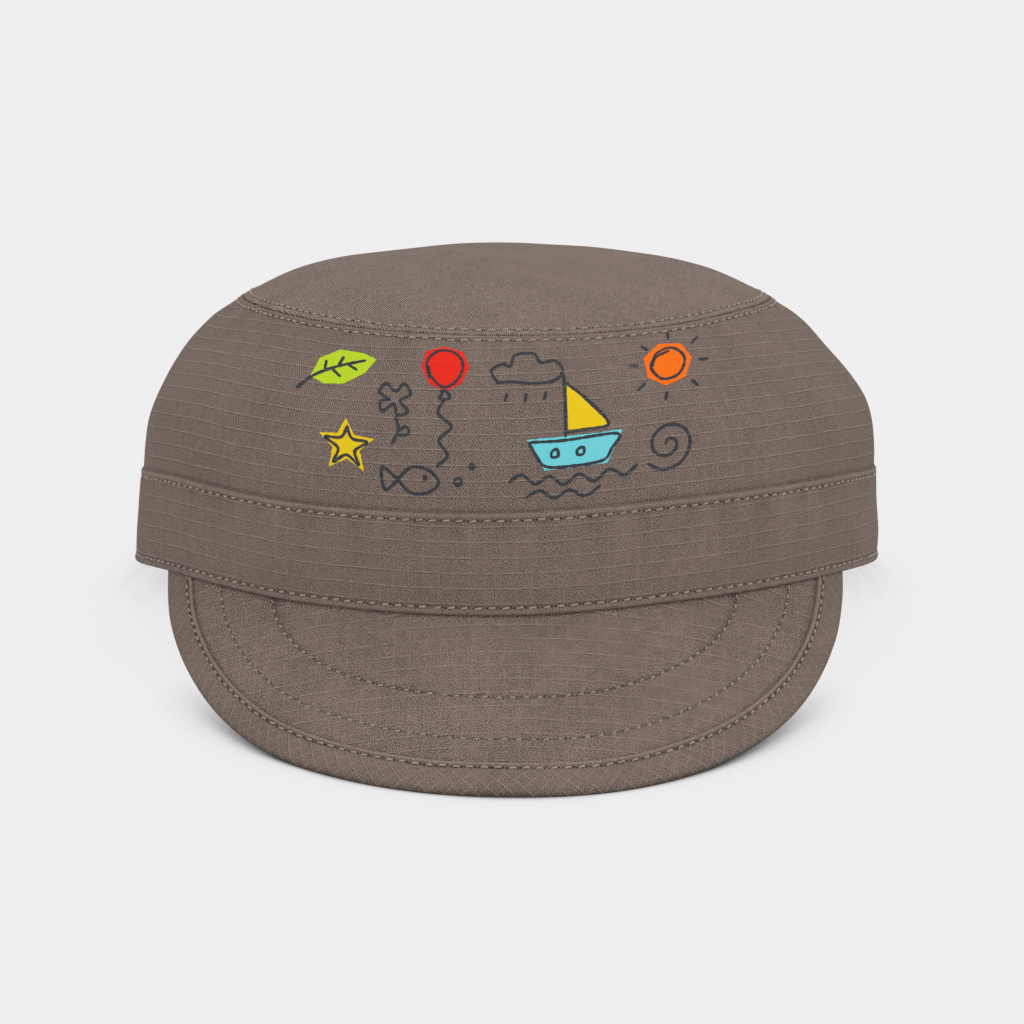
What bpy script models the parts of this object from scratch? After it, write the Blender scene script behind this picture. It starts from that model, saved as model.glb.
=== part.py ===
"""A child's cadet cap in ripstop cotton, resting on the back of its band and the edge of its peak.

The cap is five sewn pieces: a domed top, a crown wall, a head band, and a curved peak that is a
panel with a bias-cut border. Each piece is worked out in the cap's own frame, where the head goes
in along Z, the band's lower edge lies at zero height and the front faces -Y. The whole cap is then
tipped back onto the surface that it rests on, where the cloth is pressed flat.
"""
from math import atan2, cos, degrees, pi, radians, sin, sqrt, tan

import bmesh
import bpy
from mathutils import Matrix, Vector

# Head band
BAND_WIDTH = 0.167
BAND_FRONT = 0.0881
BAND_BACK = 0.0890
BAND_HEIGHT = 0.0215
BAND_THICKNESS = 0.0026
BAND_FLARE_LEFT = 0.0014
BAND_FLARE_RIGHT = 0.0003

# Crown wall
CROWN_RISE = 0.0366
WALL_THICKNESS = 0.0020
WALL_STEP = 0.0006
FOLD_DEPTH = 0.0012

# Top panel
TOP_WIDTH = 0.1178
TOP_FRONT = 0.0719
TOP_BACK = 0.0700
TOP_THICKNESS = 0.0020
TOP_DOME = 0.0099
TOP_TIP_DEG = 0.8
SEAM_CUT_DEG = 56.0

# Peak
PEAK_END_DEG = 64.4
PEAK_REACH = 0.0405
PEAK_SLOPE_DEG = 34.3
PEAK_THICKNESS = 0.0026
PEAK_SEAT = 0.0010
PEAK_SWAY = 0.0014
BORDER_FRONT = 0.0060
BORDER_SIDE = 0.0067

# How the pieces meet each other and the surface below
SEAM_GAP = 0.0003
PRESSED_CLOTH = 0.0008

# Bluntness of the plan curves: 1 is half an ellipse, more is straighter towards the sides
BAND_PLAN = 1.15
TOP_PLAN = 1.10
PEAK_PLAN = 1.00
DOME_PLAN = 3.10
DOME_PLAN_LEAN = 0.10

# Steps of the faceted solids
AROUND_STEPS = 76
PEAK_STEPS = 40
DOME_RINGS = 8
PANEL_ROWS = 6
BORDER_ROWS = 3

COLLECTION = "cadet_cap"

# How far the crown wall has turned in at each height, as shares of the crown's rise and of the
# way in from the band to the top seam. The left side is round, the right one slants from a corner.
WALL_ROWS = (
    # rise, front, right, back, left
    (0.00, 0.000, 0.000, 0.000, 0.000),
    (0.14, 0.018, -0.004, 0.018, 0.016),
    (0.28, 0.070, 0.020, 0.065, 0.052),
    (0.40, 0.140, 0.085, 0.130, 0.125),
    (0.52, 0.235, 0.210, 0.225, 0.230),
    (0.64, 0.355, 0.360, 0.350, 0.365),
    (0.76, 0.505, 0.540, 0.505, 0.535),
    (0.88, 0.700, 0.765, 0.710, 0.735),
    (1.00, 1.000, 1.000, 1.000, 1.000),
)

# Soft dents of the crown wall: azimuth and its spread in degrees, height and its spread as shares
# of the crown's rise, and depth as a share of FOLD_DEPTH, outward where it is below zero
FOLD_ROWS = (
    # azimuth, spread, rise, spread, depth
    (-66.0, 7.0, 0.86, 0.16, 0.9),
    (-78.0, 8.0, 0.58, 0.20, 0.7),
    (-90.0, 10.0, 0.74, 0.20, -0.5),
    (64.0, 6.0, 0.88, 0.14, 0.8),
    (80.0, 8.0, 0.52, 0.14, -0.9),
    (-30.0, 20.0, 0.30, 0.30, -0.3),
    (24.0, 22.0, 0.35, 0.30, 0.3),
    (150.0, 14.0, 0.55, 0.30, 0.8),
    (-160.0, 16.0, 0.45, 0.30, -0.7),
)

# How the band's two edges and the top seam wander up and down, as shares of BAND_HEIGHT
EDGE_ROWS = (
    # azimuth, lower edge, upper edge, top seam
    (-180.0, 0.000, 0.000, -0.165),
    (-130.0, -0.020, -0.024, -0.125),
    (-110.0, -0.057, -0.069, -0.075),
    (-90.0, -0.090, -0.110, -0.015),
    (-60.0, 0.048, 0.032, 0.031),
    (-30.0, -0.006, -0.006, 0.008),
    (0.0, -0.026, 0.000, 0.000),
    (30.0, 0.050, 0.076, 0.004),
    (60.0, 0.048, 0.052, 0.030),
    (90.0, -0.066, -0.086, -0.034),
    (110.0, -0.041, -0.052, -0.090),
    (130.0, -0.016, -0.018, -0.130),
    (180.0, 0.000, 0.000, -0.165),
)

# The peak's slope from its middle to its ends, as shares of its half width and of its main slope
PEAK_ROWS = (
    # aside, slope
    (0.00, 1.00),
    (0.45, 1.03),
    (0.80, 0.98),
    (1.00, 0.78),
)

# How far the peak's edge has drawn in from an even curve, as shares of PEAK_REACH
PULL_ROWS = (
    # angle, pull
    (-90.0, 0.000),
    (-62.0, 0.000),
    (-46.0, -0.009),
    (-28.0, 0.000),
    (0.0, -0.004),
    (18.0, -0.014),
    (32.0, 0.000),
    (50.0, 0.030),
    (65.0, 0.036),
    (80.0, 0.022),
    (90.0, 0.006),
)

CLOTH = (0.181, 0.139, 0.117)
BORDER_CLOTH = (0.188, 0.145, 0.123)


def clear_scene():
    for item in list(bpy.data.objects):
        bpy.data.objects.remove(item, do_unlink=True)


def between_rows(rows, place, column):
    """The value of a column at a place, on a smooth curve through the rows."""
    last = len(rows) - 1
    index = 0
    while index < last - 1 and place > rows[index + 1][0]:
        index += 1
    before = rows[max(index - 1, 0)]
    start = rows[index]
    end = rows[index + 1]
    after = rows[min(index + 2, last)]
    span = end[0] - start[0]
    share = min(max((place - start[0]) / span, 0.0), 1.0)
    start_slope = (end[column] - before[column]) / (end[0] - before[0])
    end_slope = (after[column] - start[column]) / (after[0] - start[0])
    bend = share * share * (3.0 - 2.0 * share)
    leave = share * (1.0 - share) ** 2 * span
    arrive = share * share * (share - 1.0) * span
    return (
        start[column] + (end[column] - start[column]) * bend
        + start_slope * leave + end_slope * arrive
    )


def plan_point(azimuth, half_width, front, back, plan):
    """A point of a plan curve round the head axis: azimuth 0 is the front, 90 degrees the right."""
    ahead = cos(azimuth)
    x = half_width * sin(azimuth)
    if ahead > 0.0:
        return Vector((x, -front * ahead ** plan))
    return Vector((x, -back * ahead))


def plan_outward(azimuth, half_width, front, back, plan):
    """The outward direction of a plan curve."""
    step = radians(0.5)
    before = plan_point(azimuth - step, half_width, front, back, plan)
    after = plan_point(azimuth + step, half_width, front, back, plan)
    along = (after - before).normalized()
    return Vector((along.y, -along.x, 0.0))


def edge_height(azimuth, edge):
    """Height of one of the edges whose wander EDGE_ROWS gives."""
    levels = {
        "lower edge": 0.0,
        "upper edge": BAND_HEIGHT,
        "top seam": BAND_HEIGHT + CROWN_RISE,
    }
    column = 1 + list(levels).index(edge)
    return levels[edge] + BAND_HEIGHT * between_rows(EDGE_ROWS, degrees(azimuth), column)


def band_point(azimuth, rise):
    """The band's outer face, from its lower edge at rise 0 to its upper edge at rise 1."""
    point = plan_point(azimuth, BAND_WIDTH / 2, BAND_FRONT, BAND_BACK, BAND_PLAN)
    outward = plan_outward(azimuth, BAND_WIDTH / 2, BAND_FRONT, BAND_BACK, BAND_PLAN)
    aside = sin(azimuth)
    flare = BAND_FLARE_RIGHT if aside > 0.0 else BAND_FLARE_LEFT
    lean = flare * aside ** 2 * rise
    low = edge_height(azimuth, "lower edge")
    high = edge_height(azimuth, "upper edge")
    return Vector((point.x, point.y, low + (high - low) * rise)) - outward * lean


def seam_point(azimuth):
    """The top seam, where the crown wall and the top panel meet."""
    point = plan_point(azimuth, TOP_WIDTH / 2, TOP_FRONT, TOP_BACK, TOP_PLAN)
    height = edge_height(azimuth, "top seam") + tan(radians(TOP_TIP_DEG)) * point.y
    return Vector((point.x, point.y, height))


def wall_turn(azimuth, rise):
    """How far in the wall has turned at a height, blended between the four sides."""
    ahead = cos(azimuth)
    aside = sin(azimuth)
    facing = between_rows(WALL_ROWS, rise, 1 if ahead > 0.0 else 3)
    siding = between_rows(WALL_ROWS, rise, 2 if aside > 0.0 else 4)
    return facing * ahead * ahead + siding * aside * aside


def fold_depth(azimuth, rise):
    """How far the dents press the wall in at a point."""
    heading = degrees(azimuth)
    depth = 0.0
    for centre, spread, height, height_spread, share in FOLD_ROWS:
        turn = (heading - centre + 180.0) % 360.0 - 180.0
        reach = (turn / spread) ** 2 + ((rise - height) / height_spread) ** 2
        depth += share * 2.718 ** -reach
    edge = min(rise, 1.0 - rise) / 0.12
    return FOLD_DEPTH * depth * min(edge, 1.0)


def wall_point(azimuth, rise):
    """The crown wall's outer face, from the band at rise 0 to the top seam at rise 1."""
    outward = plan_outward(azimuth, BAND_WIDTH / 2, BAND_FRONT, BAND_BACK, BAND_PLAN)
    foot = band_point(azimuth, 1.0) - outward * WALL_STEP
    head = seam_point(azimuth)
    turn = wall_turn(azimuth, rise)
    point = foot.lerp(head, turn)
    point.z = foot.z + (head.z - foot.z) * rise
    return point - outward * fold_depth(azimuth, rise)


def top_point(azimuth, share):
    """The top panel's outer face, from its middle at share 0 to the top seam at share 1."""
    seam = seam_point(azimuth)
    height = BAND_HEIGHT + CROWN_RISE + (seam.z - BAND_HEIGHT - CROWN_RISE) * share ** 2
    plan = DOME_PLAN - DOME_PLAN_LEAN * sin(azimuth)
    dome = TOP_DOME * (1.0 - share ** plan)
    return Vector((seam.x * share, seam.y * share, height + dome))


def ring_piece(profiles):
    """A closed ring from one closed profile for each step round the head."""
    points = [point for profile in profiles for point in profile]
    around = len(profiles)
    size = len(profiles[0])
    faces = []
    for step in range(around):
        following = (step + 1) % around
        for index in range(size):
            beside = (index + 1) % size
            faces.append((
                step * size + index, following * size + index,
                following * size + beside, step * size + beside,
            ))
    return points, faces


def strip_piece(profiles):
    """A closed strip from one closed profile for each step along it, with filled ends."""
    points, faces = ring_piece(profiles)
    size = len(profiles[0])
    faces = faces[:(len(profiles) - 1) * size]
    last = (len(profiles) - 1) * size
    half = size // 2
    for start in (0, last):
        for index in range(half - 1):
            faces.append((
                start + index, start + index + 1,
                start + size - 2 - index, start + size - 1 - index,
            ))
    return points, faces


def azimuths():
    return [2.0 * pi * step / AROUND_STEPS - pi for step in range(AROUND_STEPS)]


def head_band():
    """The band round the head: a cloth ring that flares a little at the sides."""
    profiles = []
    for azimuth in azimuths():
        outward = plan_outward(azimuth, BAND_WIDTH / 2, BAND_FRONT, BAND_BACK, BAND_PLAN)
        outer = [band_point(azimuth, share / 3) for share in range(4)]
        inner = [point - outward * BAND_THICKNESS for point in reversed(outer)]
        profiles.append(outer + inner)
    return ring_piece(profiles)


def crown_wall():
    """The upright side of the crown, which turns in towards the top seam."""
    profiles = []
    cut = radians(SEAM_CUT_DEG)
    for azimuth in azimuths():
        outward = plan_outward(azimuth, BAND_WIDTH / 2, BAND_FRONT, BAND_BACK, BAND_PLAN)
        along_seam = outward * sin(cut) - Vector((0.0, 0.0, cos(cut)))
        outer = []
        inner = []
        for row in WALL_ROWS:
            rise = row[0]
            point = wall_point(azimuth, rise)
            if rise == 0.0:
                point.z += SEAM_GAP
            if rise == 1.0:
                point += along_seam * SEAM_GAP / 2
            tip = cut * rise ** 1.5
            facing = outward * cos(tip) + Vector((0.0, 0.0, sin(tip)))
            outer.append(point)
            inner.append(point - facing * WALL_THICKNESS)
        profiles.append(outer + inner[::-1])
    return ring_piece(profiles)


def crown_top():
    """The oval panel on top, gently domed, with a rim cut to meet the wall at the seam."""
    cut = radians(SEAM_CUT_DEG)
    outer_rings = []
    inner_rings = []
    for ring in range(1, DOME_RINGS + 1):
        share = ring / DOME_RINGS
        outer = []
        inner = []
        for azimuth in azimuths():
            outward = plan_outward(azimuth, TOP_WIDTH / 2, TOP_FRONT, TOP_BACK, TOP_PLAN)
            point = top_point(azimuth, share)
            tip = pi / 2 - (pi / 2 - cut) * share ** 2
            facing = outward * cos(tip) + Vector((0.0, 0.0, sin(tip)))
            if ring == DOME_RINGS:
                point -= (outward * sin(cut) - Vector((0.0, 0.0, cos(cut)))) * SEAM_GAP / 2
            outer.append(point)
            inner.append(point - facing * TOP_THICKNESS)
        outer_rings.append(outer)
        inner_rings.append(inner)
    rings = outer_rings + inner_rings[::-1]
    points = [point for ring in rings for point in ring]
    faces = []
    for ring in range(len(rings) - 1):
        for step in range(AROUND_STEPS):
            following = (step + 1) % AROUND_STEPS
            faces.append((
                ring * AROUND_STEPS + step, ring * AROUND_STEPS + following,
                (ring + 1) * AROUND_STEPS + following, (ring + 1) * AROUND_STEPS + step,
            ))
    outer_middle = top_point(0.0, 0.0)
    points.append(outer_middle)
    points.append(outer_middle - Vector((0.0, 0.0, TOP_THICKNESS)))
    last = (len(rings) - 1) * AROUND_STEPS
    for step in range(AROUND_STEPS):
        following = (step + 1) % AROUND_STEPS
        faces.append((len(points) - 2, following, step))
        faces.append((len(points) - 1, last + step, last + following))
    return points, faces


def peak_root(x):
    """Where the peak leaves the band's lower edge at a distance to the side: y and height."""
    half_width = BAND_WIDTH / 2 - PEAK_SEAT
    azimuth = atan2(x, sqrt(max(half_width ** 2 - x ** 2, 1e-9)))
    point = plan_point(azimuth, half_width, BAND_FRONT - PEAK_SEAT, BAND_BACK, BAND_PLAN)
    return point.y, edge_height(azimuth, "lower edge") - SEAM_GAP


def peak_half_width():
    return (BAND_WIDTH / 2 - PEAK_SEAT) * sin(radians(PEAK_END_DEG))


def peak_surface(x, y):
    """The peak's upper face: it slopes down from the band, more steeply towards its ends."""
    root, height = peak_root(x)
    slope = tan(radians(PEAK_SLOPE_DEG)) * between_rows(PEAK_ROWS, abs(x) / peak_half_width(), 1)
    return Vector((x, y, height - (root - y) * slope))


def peak_below(point):
    """The point of the peak's lower face under a point of its upper one."""
    step = 0.0002
    across = peak_surface(point.x + step, point.y) - peak_surface(point.x - step, point.y)
    ahead = peak_surface(point.x, point.y + step) - peak_surface(point.x, point.y - step)
    return point - across.cross(ahead).normalized() * PEAK_THICKNESS


def peak_outline(angle, side_in, front_in):
    """A line parallel to the peak's edge, from its left end at -90 degrees to its right end."""
    pull = PEAK_REACH * between_rows(PULL_ROWS, degrees(angle), 1)
    half_width = peak_half_width() - side_in - pull
    reach = BAND_FRONT + PEAK_REACH - front_in - pull
    end = peak_root(half_width)[0]
    ahead = max(cos(angle), 0.0) ** PEAK_PLAN
    x = half_width * sin(angle) + PEAK_SWAY * ahead
    return peak_surface(x, end - (reach + end) * ahead)


def peak_angles():
    return [pi * step / PEAK_STEPS - pi / 2 for step in range(PEAK_STEPS + 1)]


def peak_panel():
    """The middle of the peak, from the band to the border's seam."""
    profiles = []
    for angle in peak_angles():
        far = peak_outline(angle, BORDER_SIDE + SEAM_GAP, BORDER_FRONT + SEAM_GAP)
        near = Vector((far.x, peak_root(far.x)[0]))
        upper = []
        for row in range(PANEL_ROWS + 1):
            share = row / PANEL_ROWS
            upper.append(peak_surface(far.x, near.y + (far.y - near.y) * share))
        lower = [peak_below(point) for point in reversed(upper)]
        profiles.append(upper + lower)
    return strip_piece(profiles)


def peak_border():
    """The bias strip along the peak's edge, whose ends are cut along the band."""
    profiles = []
    for angle in peak_angles():
        near = peak_outline(angle, BORDER_SIDE, BORDER_FRONT)
        far = peak_outline(angle, 0.0, 0.0)
        upper = []
        for row in range(BORDER_ROWS + 1):
            share = row / BORDER_ROWS
            x = near.x + (far.x - near.x) * share
            y = near.y + (far.y - near.y) * share
            upper.append(peak_surface(x, min(y, peak_root(x)[0])))
        lower = [peak_below(point) for point in reversed(upper)]
        profiles.append(upper + lower)
    return strip_piece(profiles)


def lowest(points, tilt):
    return min(point.y * sin(tilt) + point.z * cos(tilt) for point in points)


def rest_tilt(band, border):
    """The tilt at which the back of the band and the edge of the peak touch one surface."""
    low = radians(-45.0)
    high = 0.0
    for _ in range(40):
        middle = (low + high) / 2
        if lowest(border, middle) > lowest(band, middle):
            low = middle
        else:
            high = middle
    return (low + high) / 2


def rest_place(pieces):
    """The matrix that tips the cap onto the surface, centred over its own outline."""
    tilt = rest_tilt(pieces["head_band"][0], pieces["peak_border"][0])
    turn = Matrix.Rotation(tilt, 4, "X")
    placed = [turn @ point for points, _ in pieces.values() for point in points]
    middle_x = (max(point.x for point in placed) + min(point.x for point in placed)) / 2
    middle_y = (max(point.y for point in placed) + min(point.y for point in placed)) / 2
    low = min(point.z for point in placed)
    return Matrix.Translation((-middle_x, -middle_y, -low - PRESSED_CLOTH)) @ turn


def cloth_material(name, colour):
    material = bpy.data.materials.new(name)
    material.use_nodes = True
    material.diffuse_color = (*colour, 1.0)
    shader = material.node_tree.nodes["Principled BSDF"]
    shader.inputs["Base Color"].default_value = (*colour, 1.0)
    shader.inputs["Roughness"].default_value = 0.92
    shader.inputs["Metallic"].default_value = 0.0
    return material


def cloth_object(name, piece, place, colour, collection, parent):
    """One sewn piece as a closed mesh, pressed flat where it would pass through the surface."""
    points, faces = piece
    back = place.inverted()
    pressed = []
    for point in points:
        resting = place @ point
        resting.z = max(resting.z, 0.0)
        pressed.append(back @ resting)
    shape = bmesh.new()
    corners = [shape.verts.new(point) for point in pressed]
    for face in faces:
        shape.faces.new([corners[index] for index in face])
    bmesh.ops.remove_doubles(shape, verts=shape.verts, dist=0.00001)
    bmesh.ops.recalc_face_normals(shape, faces=shape.faces)
    bmesh.ops.triangulate(shape, faces=shape.faces)
    mesh = bpy.data.meshes.new(name)
    shape.to_mesh(mesh)
    shape.free()
    item = bpy.data.objects.new(name, mesh)
    item.data.materials.append(cloth_material(name + "_cloth", colour))
    item.parent = parent
    collection.objects.link(item)
    return item


def main():
    clear_scene()
    collection = bpy.data.collections.new(COLLECTION)
    bpy.context.scene.collection.children.link(collection)
    pieces = {
        "head_band": head_band(),
        "crown_wall": crown_wall(),
        "crown_top": crown_top(),
        "peak_panel": peak_panel(),
        "peak_border": peak_border(),
    }
    place = rest_place(pieces)
    cap = bpy.data.objects.new("cap_at_rest", None)
    cap.matrix_world = place
    collection.objects.link(cap)
    for name, piece in pieces.items():
        colour = BORDER_CLOTH if name == "peak_border" else CLOTH
        cloth_object(name, piece, place, colour, collection, cap)


main()
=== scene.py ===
"""Looks of a child's cadet cap in washed ripstop cotton.

The sewn pieces are rebuilt as fine cloth meshes where their CAD solids are, with folded edges,
hems, puckers and topstitching. Shapes are worked out in the cap's own frame, in millimetres, where
the head goes in along Z and the front faces -Y, and are then tipped onto the surface below.
"""

import bpy
import numpy as np
from mathutils import Matrix, Vector
from mathutils.geometry import delaunay_2d_cdt


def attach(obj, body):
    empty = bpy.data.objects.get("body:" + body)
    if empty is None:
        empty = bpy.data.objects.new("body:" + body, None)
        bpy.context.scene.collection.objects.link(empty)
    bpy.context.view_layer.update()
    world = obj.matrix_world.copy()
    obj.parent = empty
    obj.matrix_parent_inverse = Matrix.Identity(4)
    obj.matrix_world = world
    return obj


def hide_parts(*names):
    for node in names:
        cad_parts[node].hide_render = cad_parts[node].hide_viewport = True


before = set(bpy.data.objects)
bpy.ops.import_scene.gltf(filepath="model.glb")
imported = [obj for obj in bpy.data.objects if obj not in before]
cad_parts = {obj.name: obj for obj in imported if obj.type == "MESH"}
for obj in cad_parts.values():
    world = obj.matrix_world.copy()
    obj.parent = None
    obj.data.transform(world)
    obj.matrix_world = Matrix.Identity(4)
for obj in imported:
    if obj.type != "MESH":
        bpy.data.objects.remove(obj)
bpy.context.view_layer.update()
MM = 0.001

# The cap's sizes in millimetres, as the CAD has them
BAND_WIDTH = 167.0
BAND_FRONT = 88.1
BAND_BACK = 89.0
BAND_HEIGHT = 21.5
BAND_THICKNESS = 2.6
BAND_FLARE_LEFT = 1.4
BAND_FLARE_RIGHT = 0.3
CROWN_RISE = 36.6
WALL_THICKNESS = 2.0
WALL_TUCK = 1.2
WALL_STEP = 0.6
FOLD_DEPTH = 1.2
TOP_WIDTH = 117.8
TOP_FRONT = 71.9
TOP_BACK = 70.0
TOP_THICKNESS = 2.0
TOP_DOME = 9.9
TOP_TIP_DEG = 0.8
PEAK_END_DEG = 64.4
PEAK_REACH = 40.5
PEAK_SLOPE_DEG = 34.3
PEAK_THICKNESS = 2.6
PEAK_SEAT = 1.0
PEAK_TUCK = 0.7
PEAK_SWAY = 1.4
BORDER_FRONT = 6.0
BORDER_SIDE = 6.7
BAND_PLAN = 1.15
TOP_PLAN = 1.10
DOME_PLAN = 3.10
DOME_PLAN_LEAN = 0.10

# How the cap lies: tipped back by this angle, and moved so that it stands centred on the floor
REST_TIP_DEG = -8.404
REST_SHIFT = (0.0, 20.24, 12.21)

# The photograph's camera, fitted to the cap: its direction in degrees, its target and distance in
# millimetres, and its focal length and the middle of its view in pixels of the photograph
CAMERA_ELEVATION = 7.70
CAMERA_AZIMUTH = 0.2575
CAMERA_TARGET = (0.0, 0.0, 23.0)
CAMERA_DISTANCE = 1277.0
CAMERA_FOCAL = 5679.0
CAMERA_MIDDLE = (506.4, 449.5)
PHOTO_SIZE = 1024.0
SENSOR_WIDTH = 36.0

# The studio: how brightly the floor's paper glows, as a light table does, which keeps its real
# shadows pale, how far the painted shadow that darkens that glow near the cap reaches in metres,
# and its lights by name, place, size and watts
FLOOR_HALF = 14.0
FLOOR_GLOW = 0.812
SHADE_REACH = 0.0105
WIDE_SHADE_REACH = 0.018
SURROUND = 0.85
LIGHTS = (
    ("overhead_light", (0.6, 0.4, 5.0), (4.0, 4.0), 71.0),
    ("front_light", (0.7, -4.0, 1.6), (3.0, 2.0), 34.0),
)

# How finely the rings of cloth are divided round the head
WALL_COLUMNS = 960
TOP_COLUMNS = 720

# Cloth and thread: sizes in millimetres, the painted shade of the cloth's inside, and the colour of
# the ripstop threads
INSIDE_SHADE = -0.15
RUBBED_THREAD = (150, 139, 130)
STITCH_PITCH = 2.9
STITCH_LENGTH = 1.75
THREAD_RADIUS = 0.21
RIPSTOP_PITCH = 3.3

# How far the crown wall has turned in at each height, as shares of the crown's rise and of the
# way in from the band to the top seam
WALL_ROWS = (
    # rise, front, right, back, left
    (0.00, 0.000, 0.000, 0.000, 0.000),
    (0.14, 0.018, -0.004, 0.018, 0.016),
    (0.28, 0.070, 0.020, 0.065, 0.052),
    (0.40, 0.140, 0.085, 0.130, 0.125),
    (0.52, 0.235, 0.210, 0.225, 0.230),
    (0.64, 0.355, 0.360, 0.350, 0.365),
    (0.76, 0.505, 0.540, 0.505, 0.535),
    (0.88, 0.700, 0.765, 0.710, 0.735),
    (1.00, 1.000, 1.000, 1.000, 1.000),
)

# Soft dents of the crown wall, as the CAD has them
FOLD_ROWS = (
    # azimuth, spread, rise, spread, depth
    (-66.0, 7.0, 0.86, 0.16, 0.9),
    (-78.0, 8.0, 0.58, 0.20, 0.7),
    (-90.0, 10.0, 0.74, 0.20, -0.5),
    (64.0, 6.0, 0.88, 0.14, 0.8),
    (80.0, 8.0, 0.52, 0.14, -0.9),
    (-30.0, 20.0, 0.30, 0.30, -0.3),
    (24.0, 22.0, 0.35, 0.30, 0.3),
    (150.0, 14.0, 0.55, 0.30, 0.8),
    (-160.0, 16.0, 0.45, 0.30, -0.7),
)

# How the band's two edges and the top seam wander up and down, as shares of BAND_HEIGHT
EDGE_ROWS = (
    # azimuth, lower edge, upper edge, top seam
    (-180.0, 0.000, 0.000, -0.165),
    (-130.0, -0.020, -0.024, -0.125),
    (-110.0, -0.057, -0.069, -0.075),
    (-90.0, -0.090, -0.110, -0.015),
    (-60.0, 0.048, 0.032, 0.031),
    (-30.0, -0.006, -0.006, 0.008),
    (0.0, -0.026, 0.000, 0.000),
    (30.0, 0.050, 0.076, 0.004),
    (60.0, 0.048, 0.052, 0.030),
    (90.0, -0.066, -0.086, -0.034),
    (110.0, -0.041, -0.052, -0.090),
    (130.0, -0.016, -0.018, -0.130),
    (180.0, 0.000, 0.000, -0.165),
)

# The peak's slope from its middle to its ends, as shares of its half width and of its main slope
PEAK_ROWS = (
    # aside, slope
    (0.00, 1.00),
    (0.45, 1.03),
    (0.80, 0.98),
    (1.00, 0.78),
)

# How far the peak's edge has drawn in from an even curve, as shares of PEAK_REACH
PULL_ROWS = (
    # angle, pull
    (-90.0, 0.000),
    (-62.0, 0.000),
    (-46.0, -0.009),
    (-28.0, 0.000),
    (0.0, -0.004),
    (18.0, -0.014),
    (32.0, 0.000),
    (50.0, 0.030),
    (65.0, 0.036),
    (80.0, 0.022),
    (90.0, 0.006),
)


def between_rows(rows, place, column):
    """The values of a column at an array of places, on a smooth curve through the rows."""
    table = np.array(rows, dtype=float)
    keys = table[:, 0]
    values = table[:, column]
    last = len(keys) - 1
    place = np.asarray(place, dtype=float)
    index = np.clip(np.searchsorted(keys, place, side="left") - 1, 0, last - 1)
    before = np.maximum(index - 1, 0)
    after = np.minimum(index + 2, last)
    span = keys[index + 1] - keys[index]
    share = np.clip((place - keys[index]) / span, 0.0, 1.0)
    start_slope = (values[index + 1] - values[before]) / (keys[index + 1] - keys[before])
    end_slope = (values[after] - values[index]) / (keys[after] - keys[index])
    bend = share * share * (3.0 - 2.0 * share)
    leave = share * (1.0 - share) ** 2 * span
    arrive = share * share * (share - 1.0) * span
    rise = (values[index + 1] - values[index]) * bend
    return values[index] + rise + start_slope * leave + end_slope * arrive


def plan_point(azimuth, half_width, front, back, plan):
    """x and y of a plan curve round the head axis."""
    ahead = np.cos(azimuth)
    forward = -front * np.abs(ahead) ** plan
    return half_width * np.sin(azimuth), np.where(ahead > 0.0, forward, -back * ahead)


def band_plan(azimuth):
    return plan_point(azimuth, BAND_WIDTH / 2, BAND_FRONT, BAND_BACK, BAND_PLAN)


def band_outward(azimuth):
    """The level direction that the band faces."""
    step = np.radians(0.5)
    x0, y0 = band_plan(azimuth - step)
    x1, y1 = band_plan(azimuth + step)
    length = np.hypot(x1 - x0, y1 - y0)
    return np.stack([(y1 - y0) / length, -(x1 - x0) / length, np.zeros_like(x0)], -1)


def turn_from(degrees, centre):
    """Degrees from a centre, between -180 and 180."""
    return (degrees - centre + 180.0) % 360.0 - 180.0


def edge_height(azimuth, edge):
    """Height of the lower edge (1), upper edge (2) or top seam (3)."""
    level = (0.0, BAND_HEIGHT, BAND_HEIGHT + CROWN_RISE)[edge - 1]
    degrees = turn_from(np.degrees(azimuth), 0.0)
    return level + BAND_HEIGHT * between_rows(EDGE_ROWS, degrees, edge)


def band_point(azimuth, rise):
    x, y = band_plan(azimuth)
    aside = np.sin(azimuth)
    flare = np.where(aside > 0.0, BAND_FLARE_RIGHT, BAND_FLARE_LEFT)
    lean = flare * aside ** 2 * rise
    low = edge_height(azimuth, 1)
    height = low + (edge_height(azimuth, 2) - low) * rise
    return np.stack([x, y, height], -1) - band_outward(azimuth) * lean[..., None]


def seam_point(azimuth):
    x, y = plan_point(azimuth, TOP_WIDTH / 2, TOP_FRONT, TOP_BACK, TOP_PLAN)
    height = edge_height(azimuth, 3) + np.tan(np.radians(TOP_TIP_DEG)) * y
    return np.stack([x, y, height], -1)


def wall_turn(azimuth, rise):
    """How far in the wall has turned, between its four columns of values."""
    ahead = np.cos(azimuth)
    aside = np.sin(azimuth)
    front, right, back, left = [between_rows(WALL_ROWS, rise, column) for column in (1, 2, 3, 4)]
    facing = np.where(ahead > 0.0, front, back)
    siding = np.where(aside > 0.0, right, left)
    return facing * ahead ** 2 + siding * aside ** 2


def fold_depth(azimuth, rise):
    degrees = np.degrees(azimuth)
    depth = 0.0
    for centre, spread, height, height_spread, share in FOLD_ROWS:
        turn = turn_from(degrees, centre)
        reach = (turn / spread) ** 2 + ((rise - height) / height_spread) ** 2
        depth = depth + share * np.exp(-reach)
    edge = np.minimum(rise, 1.0 - rise) / 0.12
    return FOLD_DEPTH * depth * np.clip(edge, 0.0, 1.0)


def wall_point(azimuth, rise):
    outward = band_outward(azimuth)
    foot = band_point(azimuth, np.ones_like(azimuth)) - outward * WALL_STEP
    head = seam_point(azimuth)
    point = foot + (head - foot) * wall_turn(azimuth, rise)[..., None]
    point[..., 2] = foot[..., 2] + (head[..., 2] - foot[..., 2]) * rise
    return point - outward * fold_depth(azimuth, rise)[..., None]


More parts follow.
